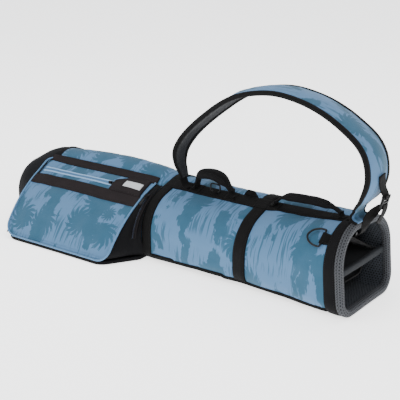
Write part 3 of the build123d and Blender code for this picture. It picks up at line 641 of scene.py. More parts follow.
PRINT = print_fabric("printed_fabric")
PRINT_FACE = print_fabric("printed_fabric_pocket", turn=0.12, scale=0.95)
PRINT_STRAP = print_fabric("printed_fabric_strap", turn=1.45, scale=1.15)
BLACK = cloth("black_fabric", (8, 8, 9), (18, 18, 20), twill=True, sheen=0.01, specular=0.08)
BLACK_TRIM = cloth("black_trim", (22, 19, 20), (40, 35, 36), period=0.0016, twill=True,
                   crumple=0.0009, sheen=0.01, specular=0.08)
CUP = cloth("cup_fabric", (8, 9, 11), (16, 18, 22), crumple=0.001, rough_value=0.75,
            sheen=0.01, specular=0.12)
WEBBING_MAT = ribbed("webbing", (4, 4, 4), (15, 14, 14), sheen=0.01)
BINDING = ribbed("binding", (4, 4, 4), (13, 13, 14), period=0.0015, depth=0.0004, sheen=0.01)
WELT = ribbed("zip_welt", (112, 148, 184), (150, 182, 212), period=0.0013, depth=0.0002, sheen=0.1)
PIPING = ribbed("piping", (52, 96, 134), (120, 156, 188), period=0.0013, depth=0.0003, sheen=0.2)
LIP_MESH = holed_mesh("lip_mesh", (70, 72, 76), (4, 4, 5), pitch=0.005)
LINING = holed_mesh("lining_mesh", (60, 64, 70), (4, 4, 5), pitch=0.0054)
PAD_MESH = holed_mesh("strap_mesh", (30, 32, 36), (6, 6, 8), pitch=0.0034)
DIVIDER = cloth("divider_fabric", (13, 14, 16), (28, 30, 34), period=0.002, crumple=0.001,
                sheen=0.03)
DIVIDER_PAD = ribbed("divider_padding", (24, 26, 29), (42, 46, 50), period=0.003, sheen=0.03)
TAPE = ribbed("zip_tape", (64, 102, 138), (104, 142, 176), period=0.0012, depth=0.0003, sheen=0.1)
COIL = moulded("zip_coil", (52, 88, 122), (92, 128, 160), rough_value=0.5, grain=1500)
COIL_DARK = moulded("zip_coil_dark", (24, 52, 78), (56, 92, 122), rough_value=0.45, grain=1500)
LABEL = cloth("label_fabric", (168, 170, 172), (198, 200, 202), period=0.0007, crumple=0.0003)
METAL = moulded("zip_metal", (16, 16, 18), (64, 64, 68), rough_value=0.35, specular=0.6,
                metallic=0.6)
PULL = moulded("zip_pull", (10, 10, 11), (26, 26, 28), rough_value=0.65, specular=0.3, grain=1400)
PLASTIC = moulded("black_plastic", (5, 5, 6), (17, 17, 19), rough_value=0.48, specular=0.22)
BOARD = moulded("board_plastic", (20, 20, 22), (40, 40, 42), rough_value=0.6, specular=0.3)
GRIP = ribbed("handle_padding", (4, 4, 5), (15, 14, 15), period=0.0026, depth=0.0007, sheen=0.01)
THREAD = moulded("black_thread", (16, 15, 16), (42, 40, 42), rough_value=0.6, specular=0.3,
                 grain=2500)
THREAD_BLUE = moulded("blue_thread", (44, 84, 118), (104, 140, 172), rough_value=0.6, grain=2500)

WEB, BOUND = ("webbing", [WEBBING_MAT]), ("black_fabric", [BINDING])
FITTING, DARK_CLOTH = ("black_plastic", [PLASTIC]), ("black_fabric", [BLACK])

# carried-over CAD nodes that stay out of sight inside the bag
for node_name in ("base_board", "mouth_hoop", "spine_stay"):
    hidden = frame["nodes"][node_name].data
    hidden.materials.clear()
    hidden.materials.append(BOARD)


# ---------------- the barrel
def seated(P):
    """Keeps a grid of points above the floor."""
    P = np.array(P)
    P[:, :, 2] = np.maximum(P[:, :, 2], FLOOR_GAP)
    return P


def body_skin():
    """The stuffed fabric tube, printed above its seam and black underneath."""
    xs = np.arange(CUP_RIM_X + 2, BAND_X, 4.5)
    xs = np.unique(np.concatenate([xs, [BAND_X + 4], MID_BAND, POCKET_BAND]))
    rows = []
    for x in xs:
        spots, normals = skin(x, 0)
        under = smooth(SPLIT_Z + 8, SPLIT_Z - 4, spots[:, 2]) * 2.4
        behind = smooth(-50, -62, x) * smooth(40, 0, spots[:, 1]) * 2.5
        lift = puff(x, spots, normals) + under - 0.2 - behind
        rows.append(spots + normals * lift[:, None])
    P = seated(rows)
    kinds = ((P[:-1, :-1, 2] + P[:-1, 1:, 2]) / 2 < SPLIT_Z + 1).astype(int)
    v = lengths(P[len(P) // 2]) * MM
    UV = np.stack(np.meshgrid(xs * MM, v, indexing="ij"), -1)
    surface("barrel_fabric", P, "print_fabric", [PRINT, BLACK], UV=UV, face_mats=kinds,
            outward=(0, 0, 80), replaces="front_panel back_panel bottom_panel", padded=0.8)
    wall, board_top = 4.2, 3.2
    inner = np.array([skin(x, -wall)[0] for x in np.linspace(CUP_RIM_X + 4, BAND_X + 6, 60)])
    inner[:, :, 2] = np.maximum(inner[:, :, 2], board_top)
    surface("barrel_lining", inner[::-1], "lining_mesh", [DIVIDER])


def band(name, span, node, grow=2.4):
    """Webbing round the bag above its seam, with its real length in its UVs."""
    def spot(x, k, out):
        spots, _ = skin(x, out + 0.2)
        where = np.arange(len(spots))
        return [np.interp(k, where, spots[:, c]) for c in range(3)]
    above = np.flatnonzero(section(sum(span) / 2)[0][:, 1] > SPLIT_Z - 2)
    low, high = above[0], above[-1]
    strip = slab(f"{name}_0", spot, span, (float(low), float(high)), (4, high - low + 1), grow,
                 *WEB, edge=1, replaces=node)
    mm_per_step = 4.6
    for loop in strip.data.uv_layers[0].data:
        loop.uv = (loop.uv[1] * mm_per_step, loop.uv[0])


def base_cup_shape():
    """Fabric-covered cup with a softly rounded end."""
    rows = []
    end_x = STATIONS[0][0]
    spots, normals = skin(end_x, 2.5)
    centre = np.array([end_x, 0, spots[:, 2].mean()])
    for share in (0, 0.35, 0.7, 0.86, 0.95):
        shrunk = centre + (spots - centre) * share
        shrunk[:, 0] = end_x + 1.5 * (1 - share)
        rows.append(shrunk)
    for x, grow in ((-444.6, 0.3), (-443.2, 1.2), (-440, 2), (-434, 2.5), (-424, 2.9),
                    (-412, 3.1), (-400, 2.9), (-390, 2.5), (-381, 2.2)):
        spots, normals = skin(x, grow)
        dents = rough(spots, 48, 1.7) * 1.5 + rough(spots, 20, 4.4) * 0.5
        dents *= smooth(-445, -432, x) * smooth(10, 30, spots[:, 2])
        rows.append(spots + normals * dents[:, None])
    surface("cup_fabric", seated(rows), "cup_fabric", [CUP], outward=(-380, 0, 80),
            replaces="base_cup", padded=0.7)
    stitches("cup_stitching", [hoop_line(-392, 3, 12), hoop_line(-437, 2.6, 12)],
             "bag", "cup_fabric", THREAD)


def spine_spot(x, y, out):
    """A point near the spine, above the bag's surface."""
    slope = (top_z(x, y + 2) - top_z(x, y - 2)) / 4
    _, ny, nz = unit([0, -slope, 1])
    z = top_z(x, y)
    return (x - station(x)[6] * z, y + ny * out, z + nz * out)


def spine():
    """Webbing along the top shoulder, with its stitching."""
    half = SPINE_WIDTH / 2
    slab("spine_webbing_strip", spine_spot, (POCKET_BAND[0] + 1, BAND_X + 8),
         (SPINE_Y - half, SPINE_Y + half), (70, 5), 3, *WEB, replaces="spine_webbing")
    xs = np.linspace(POCKET_BAND[0] + 3, BAND_X - 2, 60)
    rows = [([spine_spot(x, SPINE_Y + side * (half - 2.5), 3.1) for x in xs], (0, -0.3, 1))
            for side in (-1, 1)]
    stitches("spine_stitching", rows, "bag", "webbing", THREAD)


body_skin()
band("mid_webbing", MID_BAND, "mid_band")
band("pocket_webbing", POCKET_BAND, "pocket_band")
band("cup_trim", (CUP_RIM_X - 1, CUP_RIM_X + 20), "base_strip", grow=3)
stitches("band_stitching", [hoop_line(x, 2.75) for low, high in (MID_BAND, POCKET_BAND)
                            for x in (low + 2.5, high - 2.5)], "bag", "webbing", THREAD)
base_cup_shape()
spine()


def seam_bindings():
    """Bound seams along the bottom corners, front and back."""
    for name, sign, start in (("seam_binding_front", -1, POCKET_BAND[1]),
                              ("seam_binding_back", 1, CUP_RIM_X + 20)):
        points = []
        for x in np.arange(start + 1, BAND_X + 1, 6):
            spots, normals = skin(x, 0)
            off_seam = np.abs(spots[:, 2] - SPLIT_Z - 2)
            k = np.argmin(np.where(spots[:, 1] * sign > 0, off_seam, 1e9))
            spot = spots[k] + normals[k] * (2 + puff(x, spots, normals)[k] * 0.8)
            spot[2] += rough(spot[None], 70, 7.7)[0] * 2.4
            points.append(spot)
        sweep(name + "_roll", points, (0, 0, 1), oval(8, 4.4, 12, 2.4), "bag", *BOUND,
              replaces=name)


def ring_line(x, grow, count=150):
    """Evenly spread points and normals round the mouth."""
    spots, normals = skin(x, grow)
    both = resample(np.column_stack([spots[:-1], normals[:-1]]), 1, closed=True)
    keep = np.linspace(0, len(both), count, endpoint=False).astype(int)
    return both[keep, :3], unit(both[keep, 3:])


def mouth():
    """Band, padded mesh lip and lining round the open end."""
    rows = []
    for x, grow in ((405.2, -0.5), (405.4, 1.8), (406.5, 3), (416, 3.6), (425, 3.7),
                    (432, 3), (433.5, 1.6)):
        spots, normals = skin(x, grow)
        rows.append(spots + normals * rough(spots, 40, 6.1)[:, None] * 0.7)
    P = seated(rows)
    surface("mouth_trim_band", P, *DARK_CLOTH, UV=run_uv(P)[:, :, ::-1],
            outward=(420, 0, 80), replaces="rim_band")
    line, out = ring_line(439, -3.6)
    thick = 1 + 0.07 * rough(line, 45, 2.2)
    profile = oval(15.6, 15, 20, 3)[None] * thick[:, None, None]
    sweep("lip_roll", line, out, profile, "bag", "lip_mesh", [LIP_MESH], closed=True,
          replaces="mouth_lip", padded=0.8)
    line, out = ring_line(432.6, 1)
    sweep("lip_binding", line, out, oval(4.4, 3.6, 10), "bag", *BOUND, closed=True)
    rows = []
    for x, grow in ((436, -10), (430, -8.8), (415, -8), (395, -7.6), (372, -7.3), (371, -6)):
        spots, normals = skin(x, grow)
        rows.append(spots + normals * rough(spots * (0.2, 1, 1), 16, 8.3)[:, None] * 0.8)
    surface("mouth_cuff", np.array(rows)[::-1], "lining_mesh", [LINING], replaces="mouth_lining")
    stitches("mouth_stitching", [hoop_line(409, 3.6, 8), hoop_line(429.5, 4, 8)],
             "bag", "black_fabric", THREAD)


def divider(name, node, path_yz, end_x, sag, thick=2.6):
    """A soft sheet along X, from deep inside to end_x; its section follows (y, z) points."""
    line = resample(np.array([(0, y, z) for y, z in path_yz]), 5)
    P = []
    for x in np.linspace(250, end_x, 24):
        row = line + (x, 0, 0)
        row[:, 2] += rough(row, 60, 11) * sag
        row[:, 2] = np.minimum(row[:, 2], [top_z(x, y, -7) for y in row[:, 1]])
        P.append(row)
    P = np.array(P)
    normal = unit(np.cross(unit(np.gradient(P, axis=1)), (1, 0, 0)))
    upper, lower = P + normal * thick / 2, P - normal * thick / 2
    closed = np.concatenate([upper, lower[:, ::-1], upper[:, :1]], 1)
    tube(name, closed, "bag", "divider_fabric", [DIVIDER], closed=True, replaces=node)


def dividers():
    divider("divider_main_sheet", "main_divider", [(-84, 84), (84, 84)], 418, 1)
    divider("divider_upper_sheet", "upper_divider", [(-48, 152), (-20, 137), (20, 114), (64, 89)],
            414, 1.2)
    bend = catmull([(27, 80), (22, 66), (13, 55), (-10, 54.5), (-50, 57), (-86, 60)], 6)
    divider("divider_lower_sheet", "lower_divider", bend, 414, 0.8)
    ys = np.linspace(-85, 85, 40)
    line = np.column_stack([424 + 0 * ys, ys, 85.2 - 1.2 * np.cos(ys / 85 * pi / 2)])
    profile = oval(9.5, 14, 16, 3.4)[None] * (1 + 0.05 * rough(line, 18, 4))[:, None, None]
    sweep("divider_bar_roll", line, (1, 0, 0), profile, "bag", "divider_pad", [DIVIDER_PAD],
          replaces="divider_bar", padded=0.8)
    edges = ([(-48, 151), (-20, 137), (20, 114), (63, 90)],
             [(26, 79), (21, 66), (13, 56), (-10, 55), (-50, 57), (-84, 60)])
    for number, path in enumerate(edges):
        line = resample(catmull([(414.5, y, z) for y, z in path], 8), 4)
        sweep(f"divider_binding_{number}", line, (1, 0, 0), oval(5, 4.4, 10), "bag", *BOUND)


seam_bindings()
mouth()
dividers()


# ---------------- the pocket
FALL = np.subtract(POCKET_LOW, POCKET_TOP)
CHORD = float(np.hypot(*FALL))
OUT = np.array([FALL[1], -FALL[0]]) / CHORD
FACE_R = (CHORD ** 2 / 4 + POCKET_BULGE ** 2) / (2 * POCKET_BULGE)
CENTRE = (np.array(POCKET_TOP) + POCKET_LOW) / 2 - (FACE_R - POCKET_BULGE) * OUT
FACE_START = atan2(POCKET_TOP[1] - CENTRE[1], POCKET_TOP[0] - CENTRE[0])
DROP = 2 * asin(CHORD / 2 / FACE_R) * FACE_R
CORNER, TOP_CORNER = 30, 8
FACE_NORMAL = (0, *OUT)
POCKET_MIDDLE = sum(POCKET_X) / 2


def yawed(p):
    """Turns a point of the squarely made pocket by its slight yaw."""
    p = np.array(p, float)
    c, s = cos(POCKET_YAW), sin(POCKET_YAW)
    x, y = p[..., 0] - POCKET_X[1], p[..., 1].copy()
    p[..., 0], p[..., 1] = POCKET_X[1] + x * c - y * s, x * s + y * c
    return p


def face_raw(x, down, out):
    turn = FACE_START + down / FACE_R
    r = FACE_R + out
    return (x, CENTRE[0] + r * cos(turn), CENTRE[1] + r * sin(turn))


def rounding(past, radius):
    """How far an edge has come in, this far along the corner that ends it."""
    return radius - sqrt(max(0, radius ** 2 - max(0, past) ** 2))


def face_ends(down):
    """The pocket face's two ends at a distance down it, rounded at its corners."""
    share = min(max(down / DROP, 0), 1)
    right = POCKET_X[1] + (POCKET_LOW_END - POCKET_X[1]) * share
    inset = 1 + rounding(down - DROP + CORNER, CORNER) + rounding(TOP_CORNER - down, TOP_CORNER)
    return POCKET_X[0] + inset, right - inset


def stuffing(x, down):
    """How far the stuffed pocket's fabric stands off its CAD face."""
    left, right = face_ends(down)
    edge = min(x - left, right - x, down + 6, DROP - down)
    body = float(smooth(0, 45, edge))
    p = np.array([[x, down, 0]])
    lumps = rough(p * (0.8, 1, 1), 80, 2.3)[0] * 4 + rough(p, 34, 6.6)[0] * 1.4
    pull = rough(p * (1.6, 0.3, 1), 24, 8.8)[0] * 1.8 * float(smooth(60, 0, DROP - down))
    seam = -2.2 * exp(-((down - 82) / 8) ** 2)
    corner = 2.6 * float(smooth(46, 12, down)) * float(smooth(left + 70, left, x))
    loose = (3.2 + lumps) * body + pull * float(smooth(0, 12, edge))
    return loose + seam * float(smooth(0, 20, edge)) + corner


def face_spot(x, down, out):
    return yawed(face_raw(x, down, out + stuffing(x, down)))


def face_line(ends, downs, inset=0):
    """Points (x, down) near the face's left end (0) or right end (1)."""
    return [(face_ends(d)[ends] + inset * (1 - 2 * ends), d) for d in downs]


def pocket_face():
    downs = np.concatenate([np.linspace(0, 12, 5), np.linspace(16, DROP - CORNER - 4, 42),
                            np.linspace(DROP - CORNER, DROP, 12)])
    xs = np.array([np.linspace(*face_ends(d), 84) for d in downs])
    P = np.array([[face_spot(x, d, 0) for x in row] for row, d in zip(xs, downs)])
    UV = np.stack([xs * MM, np.repeat(downs[:, None], 84, 1) * -MM + 0.9], -1)
    surface("pocket_front", P, "print_fabric", [PRINT_FACE], UV=UV, outward=(POCKET_MIDDLE, 0, 60),
            replaces="pocket_face", padded=0.85)
    low = DROP - CORNER
    left, right = face_ends(low)
    turns = np.radians(np.linspace(0, 90, 9))
    loop = face_line(0, np.linspace(0, low, 28))
    loop += [(left + CORNER - CORNER * cos(t), low + CORNER * sin(t)) for t in turns[1:]]
    loop += [(x, DROP) for x in np.linspace(left + CORNER + 6, right - CORNER - 6, 26)]
    loop += [(right - CORNER + CORNER * sin(t), low + CORNER * cos(t)) for t in turns]
    loop += face_line(1, np.linspace(low - 4, 4, 26))
    rises = [3.4 * float(smooth(46, 12, d)) * (x < POCKET_MIDDLE) for x, d in loop]
    line = np.array([yawed(face_raw(x, d, 1.4 + rise)) for (x, d), rise in zip(loop, rises)])
    sweep("pocket_piping_cord", resample(line, 4), (0.2, -0.65, 0.75), oval(4.2, 4.2, 12), "bag",
          "piping", [PIPING], replaces="pocket_piping")
    sides = np.linspace(DROP - 26, 96, 40)
    rows = ([(x, DROP - 9) for x in np.linspace(left + 26, right - 26, 60)],
            face_line(1, sides, 8), face_line(0, sides, 8))
    stitches("pocket_face_stitching",
             [([face_spot(x, d, 0.1) for x, d in row], FACE_NORMAL) for row in rows],
             "bag", "print_fabric", THREAD_BLUE)


def trim_spot(x, down, out):
    """A point on the face, or on the dome where the distance down is negative."""
    if down >= 0:
        return face_spot(x, down, out)
    turn_over = 7.5
    _, _, r, low, _ = dome_arc(x)
    along = max(0, -down - turn_over)
    share = min(-down / turn_over, 1)
    return face_spot(x, 0, out) * (1 - share) + dome_spot(x, low - along / r, out) * share


def garage_spot(x, down, out):
    """The garage's upper corner on the zip's side is cut away."""
    left = GARAGE_X[0] + 26 * float(smooth(27, 9, down))
    share = (x - GARAGE_X[0]) / (GARAGE_X[1] - GARAGE_X[0])
    return face_spot(left + (GARAGE_X[1] - left) * share, down, out)


def pocket_trims():
    """Trims, label, zip tape and welts on the face, with their stitching."""
    left, right = POCKET_X
    garage, garage_end = GARAGE_X
    for name, spot, xs, downs, counts, height, slot, mat, node, more in (
        ("pocket_top_trim", trim_spot, (left + 3, right - 1), (-15, 6), (60, 8), 2.4,
         "black_fabric", BLACK_TRIM, "top_trim", {}),
        ("pocket_lower_trim", face_spot, (left + 3, right - 7), (53, 80), (60, 6), 2.9,
         "black_fabric", BLACK_TRIM, "lower_trim", {}),
        ("pocket_zip_garage", garage_spot, GARAGE_X, (7, 54.5), (20, 14), 4.4,
         "black_fabric", BLACK_TRIM, "zip_garage", {}),
        ("pocket_blank_label", face_spot, (garage + 30, garage + 76), (22, 39), (12, 6), 5.4,
         "label", LABEL, "pocket_label", {"edge": 0.8, "sink": 4}),
        ("valuables_tape", face_spot, (ZIP_FROM_X, garage + 4), (ZIP_LINE - 6.5, ZIP_LINE + 6.5),
         (60, 6), 1.1, "zip_tape", TAPE, "valuables_zip", {"edge": 0.6, "sink": -0.2}),
    ):
        slab(name, spot, xs, downs, counts, height, slot, [mat], replaces=node, **more)
    for number, down in enumerate((ZIP_LINE - 5, ZIP_LINE + 5)):
        line = [face_spot(x, down, 0.9) for x in np.linspace(ZIP_FROM_X, garage + 2, 70)]
        sweep(f"valuables_welt_{number}", line, FACE_NORMAL, oval(1.6, 3.4, 10, 2.6), "bag",
              "zip_tape", [WELT])
    rows = []
    for down, rise, x0, x1 in ((-12.8, 2.5, left + 8, right - 6), (3.8, 2.5, left + 8, right - 6),
                               (55.4, 3, left + 8, garage), (77.6, 3, left + 8, -79),
                               (52, 4.5, garage + 3, garage_end - 3)):
        rows.append(([trim_spot(x, down, rise) for x in np.linspace(x0, x1, 70)], FACE_NORMAL))
    for x in (garage + 2.5, garage_end - 2.5):
        rows.append(([garage_spot(x, d, 4.5) for d in np.linspace(9, 52, 18)], FACE_NORMAL))
    stitches("trim_stitching", rows, "bag", "black_fabric", THREAD)
    rows = [([face_spot(x, d, 5.5) for x in np.linspace(garage + 32, garage + 74, 20)], FACE_NORMAL)
            for d in (24, 37.2)]
    stitches("label_stitching", rows, "bag", "label", LABEL, pitch=2.6, long=1.7, r=0.3)


def circle_through(a, b, c):
    """Centre and radius of the circle through three points, and the angles of the outer two."""
    (ay, az), (by, bz), (cy, cz) = a, b, c
    d = 2 * (ay * (bz - cz) + by * (cz - az) + cy * (az - bz))
    sa, sb, sc = (y * y + z * z for y, z in (a, b, c))
    y0 = (sa * (bz - cz) + sb * (cz - az) + sc * (az - bz)) / d
    z0 = (sa * (cy - by) + sb * (ay - cy) + sc * (by - ay)) / d
    first, last = (atan2(z - z0, y - y0) for y, z in (a, c))
    return y0, z0, hypot(ay - y0, az - z0), first, last


# x, then three points (y, z) of the dome's arc: front, crown, back
DOME = catmull([
    (-389, -6, 148, 24, 155, 56, 150), (-383, -8, 151, 24, 162, 64, 152),
    (-335, -8, 151.5, 24, 168, 72, 145), (-230, -8, 151.5, 24, 172, 76, 142),
    (-130, -8, 151.5, 24, 171, 76, 142), (-80, -8, 151, 24, 167, 72, 142),
    (-50, -8, 147, 24, 161, 64, 147), (-43, -8, 144, 24, 157, 60, 148),
], 9)


def dome_arc(x):
    """Centre (y, z), radius, first and last angle of the dome's arc at x."""
    row = [float(np.interp(x, DOME[:, 0], DOME[:, k])) for k in range(1, 7)]
    return circle_through(row[:2], row[2:4], row[4:])


def dome_spot(x, turn, out=0):
    """A point on the stuffed dome at x, at an angle about its arc's centre."""
    y0, z0, r, low, high = dome_arc(x)
    way = np.array((0, cos(turn), sin(turn)))
    p = np.array((x, y0, z0)) + way * r
    body = sin(pi * min(max((low - turn) / (low - high), 0), 1)) ** 0.6
    lumps = rough([p * (0.8, 1, 1)], 70, 4.1)[0] * 2.6 + rough([p * (1.5, 0.6, 1)], 26, 7.3)[0]
    return yawed(p + way * (lumps * body + out))


def pocket_dome():
    """Stuffed, printed top of the pocket, over the bag's crown."""
    P = []
    for x in DOME[:, 0]:
        _, _, r, low, high = dome_arc(x)
        P.append([dome_spot(x, turn) for turn in np.linspace(low + 7.2 / r, high - 12 / r, 40)])
    P = np.array(P)
    end_strip = POCKET_X[0] + 20
    kinds = np.repeat((P[:-1, 20:21, 0] < end_strip).astype(int), P.shape[1] - 1, 1)
    surface("pocket_dome_fabric", P, "print_fabric", [PRINT_FACE, BLACK],
            outward=(POCKET_MIDDLE, 30, 60), face_mats=kinds,
            replaces="pocket_top_panel", padded=0.9)
    sweep("pocket_dome_seam", P[4:-3, -3] + (0, 0.6, 0.6), (0, 0, 1), oval(3.6, 3, 10), "bag",
          *BOUND)


def arc_through(a, b, c, share):
    """A point at a share along the circular arc from a over b to c (2-D)."""
    y0, z0, r, first, last = circle_through(a, b, c)
    if last < first:
        last += 2 * pi
    turn = first + (last - first) * share
    return y0 + r * cos(turn), z0 + r * sin(turn)


def gusset_raw(share, back):
    """A point on the slanting end wall: share down it, back from the face to the bag."""
    down = 4 + (DROP - 6) * share
    _, right = face_ends(min(max(down, TOP_CORNER), DROP - CORNER))
    right -= rounding(down - DROP + CORNER, CORNER)
    near = np.array((right, *face_raw(0, down, -1)[1:]))
    y, z = arc_through((-22, 146), (-98, 78), (-84, 9), share)
    return near + ((POCKET_BAND[0] - 1, y, z) - near) * back


def gussets():
    """The pocket's two end walls."""
    shares = np.linspace(0, 1, 40)
    rows = []
    for share in shares:
        row = []
        for back in np.linspace(0, 1, 22):
            p = gusset_raw(share, back)
            q = gusset_raw(min(share + 0.02, 1.02), back) - p
            n = unit(np.cross(q, gusset_raw(share, back + 0.05) - p))
            n = n * np.sign(n @ (1, -0.5, 0))
            arch = sin(pi * back)
            bulge = arch * (sin(pi * share) * 2.2 + rough(p[None], 30, 3.3)[0] * 2.6)
            seat = exp(-((back - 0.62) / 0.17) ** 2)
            row.append(p + n * (bulge * (1 - seat) - 1.8 * seat))
        rows.append(row)
    surface("gusset_mouth_fabric", yawed(rows), *DARK_CLOTH,
            outward=(-150, -60, 60), replaces="gusset_mouth", padded=0.5)
    rows = []
    for share in shares:
        near = np.array(face_raw(POCKET_X[0] + 2.5, 3 + (DROP - 6) * share, -1.5))
        far = (CUP_RIM_X + 9, *arc_through((-20, 150), (-92, 80), (-84, 8), share))
        row = []
        for back in np.linspace(0, 1, 14):
            p = near + (far - near) * back
            bulge = sin(pi * back) * (3 + rough(p[None], 30, 5.5)[0] * 2)
            row.append(p - (bulge * sin(pi * share), 0, 0))
        rows.append(row)
    surface("gusset_base_fabric", yawed(rows), *DARK_CLOTH,
            outward=(-200, -60, 60), replaces="gusset_base")


def pocket_floor():
    """Black gusset under the face: an upright edge that turns in under the pocket."""
    front, end = POCKET_LOW[0] + 29, POCKET_BAND[0] - 14
    circles = [(POCKET_X[0] + 34, front, 32), (POCKET_LOW_END - 32, front, 32),
               (end, -98, 10), (end, -60, 10), (POCKET_X[0] + 12, -60, 10)]
    outline = [(u + r * cos(t), v + r * sin(t), 0)
               for (u, v, r), span in zip(circles, hull(circles)) for t in np.linspace(*span, 10)]
    outline = resample(outline, 7, closed=True)
    middle = outline.mean(0)
    inward = unit(middle - outline)
    rows = []
    for z, inset in ((9, 4), (8.2, 1.2), (6.5, 0), (3.5, -0.3), (1.4, 0.2), (0.3, 2),
                     (0.1, 6), (0.1, 24)):
        ripple = rough(outline, 26, z * 0.1) * 0.8 * (inset < 2)
        row = outline + inward * (inset + ripple)[:, None] + (0, 0, z)
        rows.append(np.vstack([row, row[:1]]))
    rows.append(np.repeat(middle[None] + (0, 0, 0.1), len(outline) + 1, 0))
    surface("pocket_floor_fabric", yawed(rows), *DARK_CLOTH,
            outward=(-220, -90, 30), replaces="pocket_bottom")


pocket_face()
pocket_trims()
pocket_dome()
gussets()
pocket_floor()


# ---------------- zips
def teeth(name, points, normals, mat):
    """Two rows of nylon coils, meshed along a line."""
    verts, faces = [], []
    for k, (c, t, s, o) in enumerate(beads(points, normals, 1.5)):
        side = s if k % 2 else -s
        add_bead(verts, faces, c + side * 0.84, s * 1.24, t * -0.62, o * 0.6)
    finish_mesh(name, build(name, verts, faces, weld=False), "bag", "zip_tape", [mat])


def on_plane(origin, x_dir, z_dir):
    origin, x_dir, z_dir = np.array(origin, float), unit(x_dir), unit(z_dir)
    x_dir = unit(x_dir - z_dir * (x_dir @ z_dir))
    y_dir = np.cross(z_dir, x_dir)
    return lambda x, y, z: origin + x_dir * x + y_dir * y + z_dir * z


def joint(name):
    found = [j for j in frame["joints"] if j["name"] == name][0]
    return np.array(found.get("pos_m", (0, 0, 0))) * 1000, np.array(found["axis"])


PULL_PIN = 4.6


def slider_and_pull(kind, origin, x_dir, z_dir):
    """A moulded slider with its bridge, and the pull that hangs on it."""
    place = on_plane(origin, x_dir, z_dir)
    boxes = [(-5.5, 5.5, -4.5, 4.5, 0.5, 3), (-3.6, -1.7, -1.9, 1.9, 2.6, 7.4),
             (1.7, 3.6, -1.9, 1.9, 2.6, 7.4), (-3.6, 3.6, -1.9, 1.9, 6.2, 7.6)]
    solid_boxes(f"{kind}_slider_body", boxes, place, f"{kind}_slider_body", "zip_metal", [METAL],
                bevel=0.55, replaces=f"{kind}_slider")
    bars = [(-1, 10, 2.8, 4.3, 0.7, 0.7), (-1, 10, -4.3, -2.8, 0.7, 0.7),
            (-0.8, 0.8, -3.4, 3.4, 0.7, 0.7), (9, 24, -4.2, 4.2, 0.9, 0.8)]
    bars += [(x, x + 1, -3.6, 3.6, 1.1, 1.1) for x in (12, 15, 18)]
    boxes = [(*flat, PULL_PIN - below, PULL_PIN + above) for *flat, below, above in bars]
    solid_boxes(f"{kind}_pull_tab", boxes, place, f"{kind}_pull_body", "zip_pull", [PULL],
                bevel=0.5, replaces=f"{kind}_pull")


def zips():
    """Coils, tape, sliders and pulls of both zips."""
    xs = np.linspace(ZIP_FROM_X + 2, GARAGE_X[0] + 4, 90)
    teeth("valuables_coil", [face_spot(x, ZIP_LINE, 1.4) for x in xs], FACE_NORMAL, COIL)
    pin, axis = joint("valuables_pull_swing")
    x_dir = -joint("valuables_zip_run")[1]
    z_dir = np.cross(x_dir, -axis)
    slider_and_pull("valuables", pin - unit(z_dir) * PULL_PIN, x_dir, z_dir)
    centre, normal = joint("apparel_zip_run")
    pin, axis = joint("apparel_pull_swing")
    x_dir = np.cross(normal, unit((pin - centre) - normal * ((pin - centre) @ normal)))
    z_dir = np.cross(x_dir, -axis)
    origin = pin - unit(z_dir) * PULL_PIN
    slider_and_pull("apparel", origin, x_dir, z_dir)

    def rotated(v, turn):
        c, s = cos(turn), sin(turn)
        return v * c + np.cross(normal, v) * s + normal * (normal @ v) * (1 - c)
    arm = origin - unit(z_dir) * 0.6 - centre
    turns = np.radians(np.linspace(-4.2, 46.2, 44))
    points = np.array([centre + rotated(arm, turn) for turn in turns])
    outs = np.array([rotated(unit(z_dir), turn) for turn in turns])
    teeth("apparel_coil", points + outs * 0.1, outs, COIL_DARK)
    sweep("apparel_tape", points - outs * 1.3, outs, oblong(1, 17, 0.4), "bag", "zip_tape",
          [BLACK_TRIM], replaces="apparel_zip")
    side = unit(np.cross(np.gradient(points, axis=0), outs))
    for number, off in enumerate((-5.6, 5.6)):
        sweep(f"apparel_welt_{number}", points + side * off - outs * 0.5, outs, oval(2.2, 3.4, 10),
              "bag", "zip_tape", [BLACK])


zips()


# ---------------- handles and small fittings
FOOT_RISE = 3.9


def handle(name, feet, rise, peaks, radius, body, node, widths):
    """A padded grip on webbing that is sewn flat at both feet."""
    x0, x1 = feet
    z0, z1 = (spine_top(x) + FOOT_RISE + radius for x in feet)
    line = [(x0 + (x1 - x0) * a, SPINE_Y, z0 + (z1 - z0) * a + rise * b)
            for a, b in [(0, -0.05), *peaks, (1, -0.05)]]
    line = resample(catmull(line, 10), 2.5)
    share = lengths(line) / lengths(line)[-1]
    end = np.minimum(share, 1 - share)
    width = widths[0] + (widths[1] - widths[0]) * smooth(0.12, 0.4, end)
    thick = widths[2] + (widths[3] - widths[2]) * smooth(0.08, 0.26, end)
    lumps = 1 + 0.05 * rough(line, 16, radius)
    profile = np.array([oval(w * k, t * k, 18, 2.5) for w, t, k in zip(width, thick, lumps)])
    sweep(name, line, (0, 1, 0), profile, body, "handle_pad", [GRIP], replaces=node, padded=0.7)
    up = np.cross(unit(np.gradient(line, axis=0)), (0, 1, 0))
    up = up * np.sign(up[:, 2:3])
    inner = (share > 0.14) & (share < 0.86)
    rows = []
    for sign in (-1, 1):
        across = np.outer(sign * width * 0.44, (0, 1, 0))
        seam = line + up * (thick * 0.3)[:, None] + across
        rows.append((seam[inner], (up + (0, sign, 0))[inner]))
    stitches(name + "_stitching", rows, body, "handle_pad", THREAD, rise=0.25)


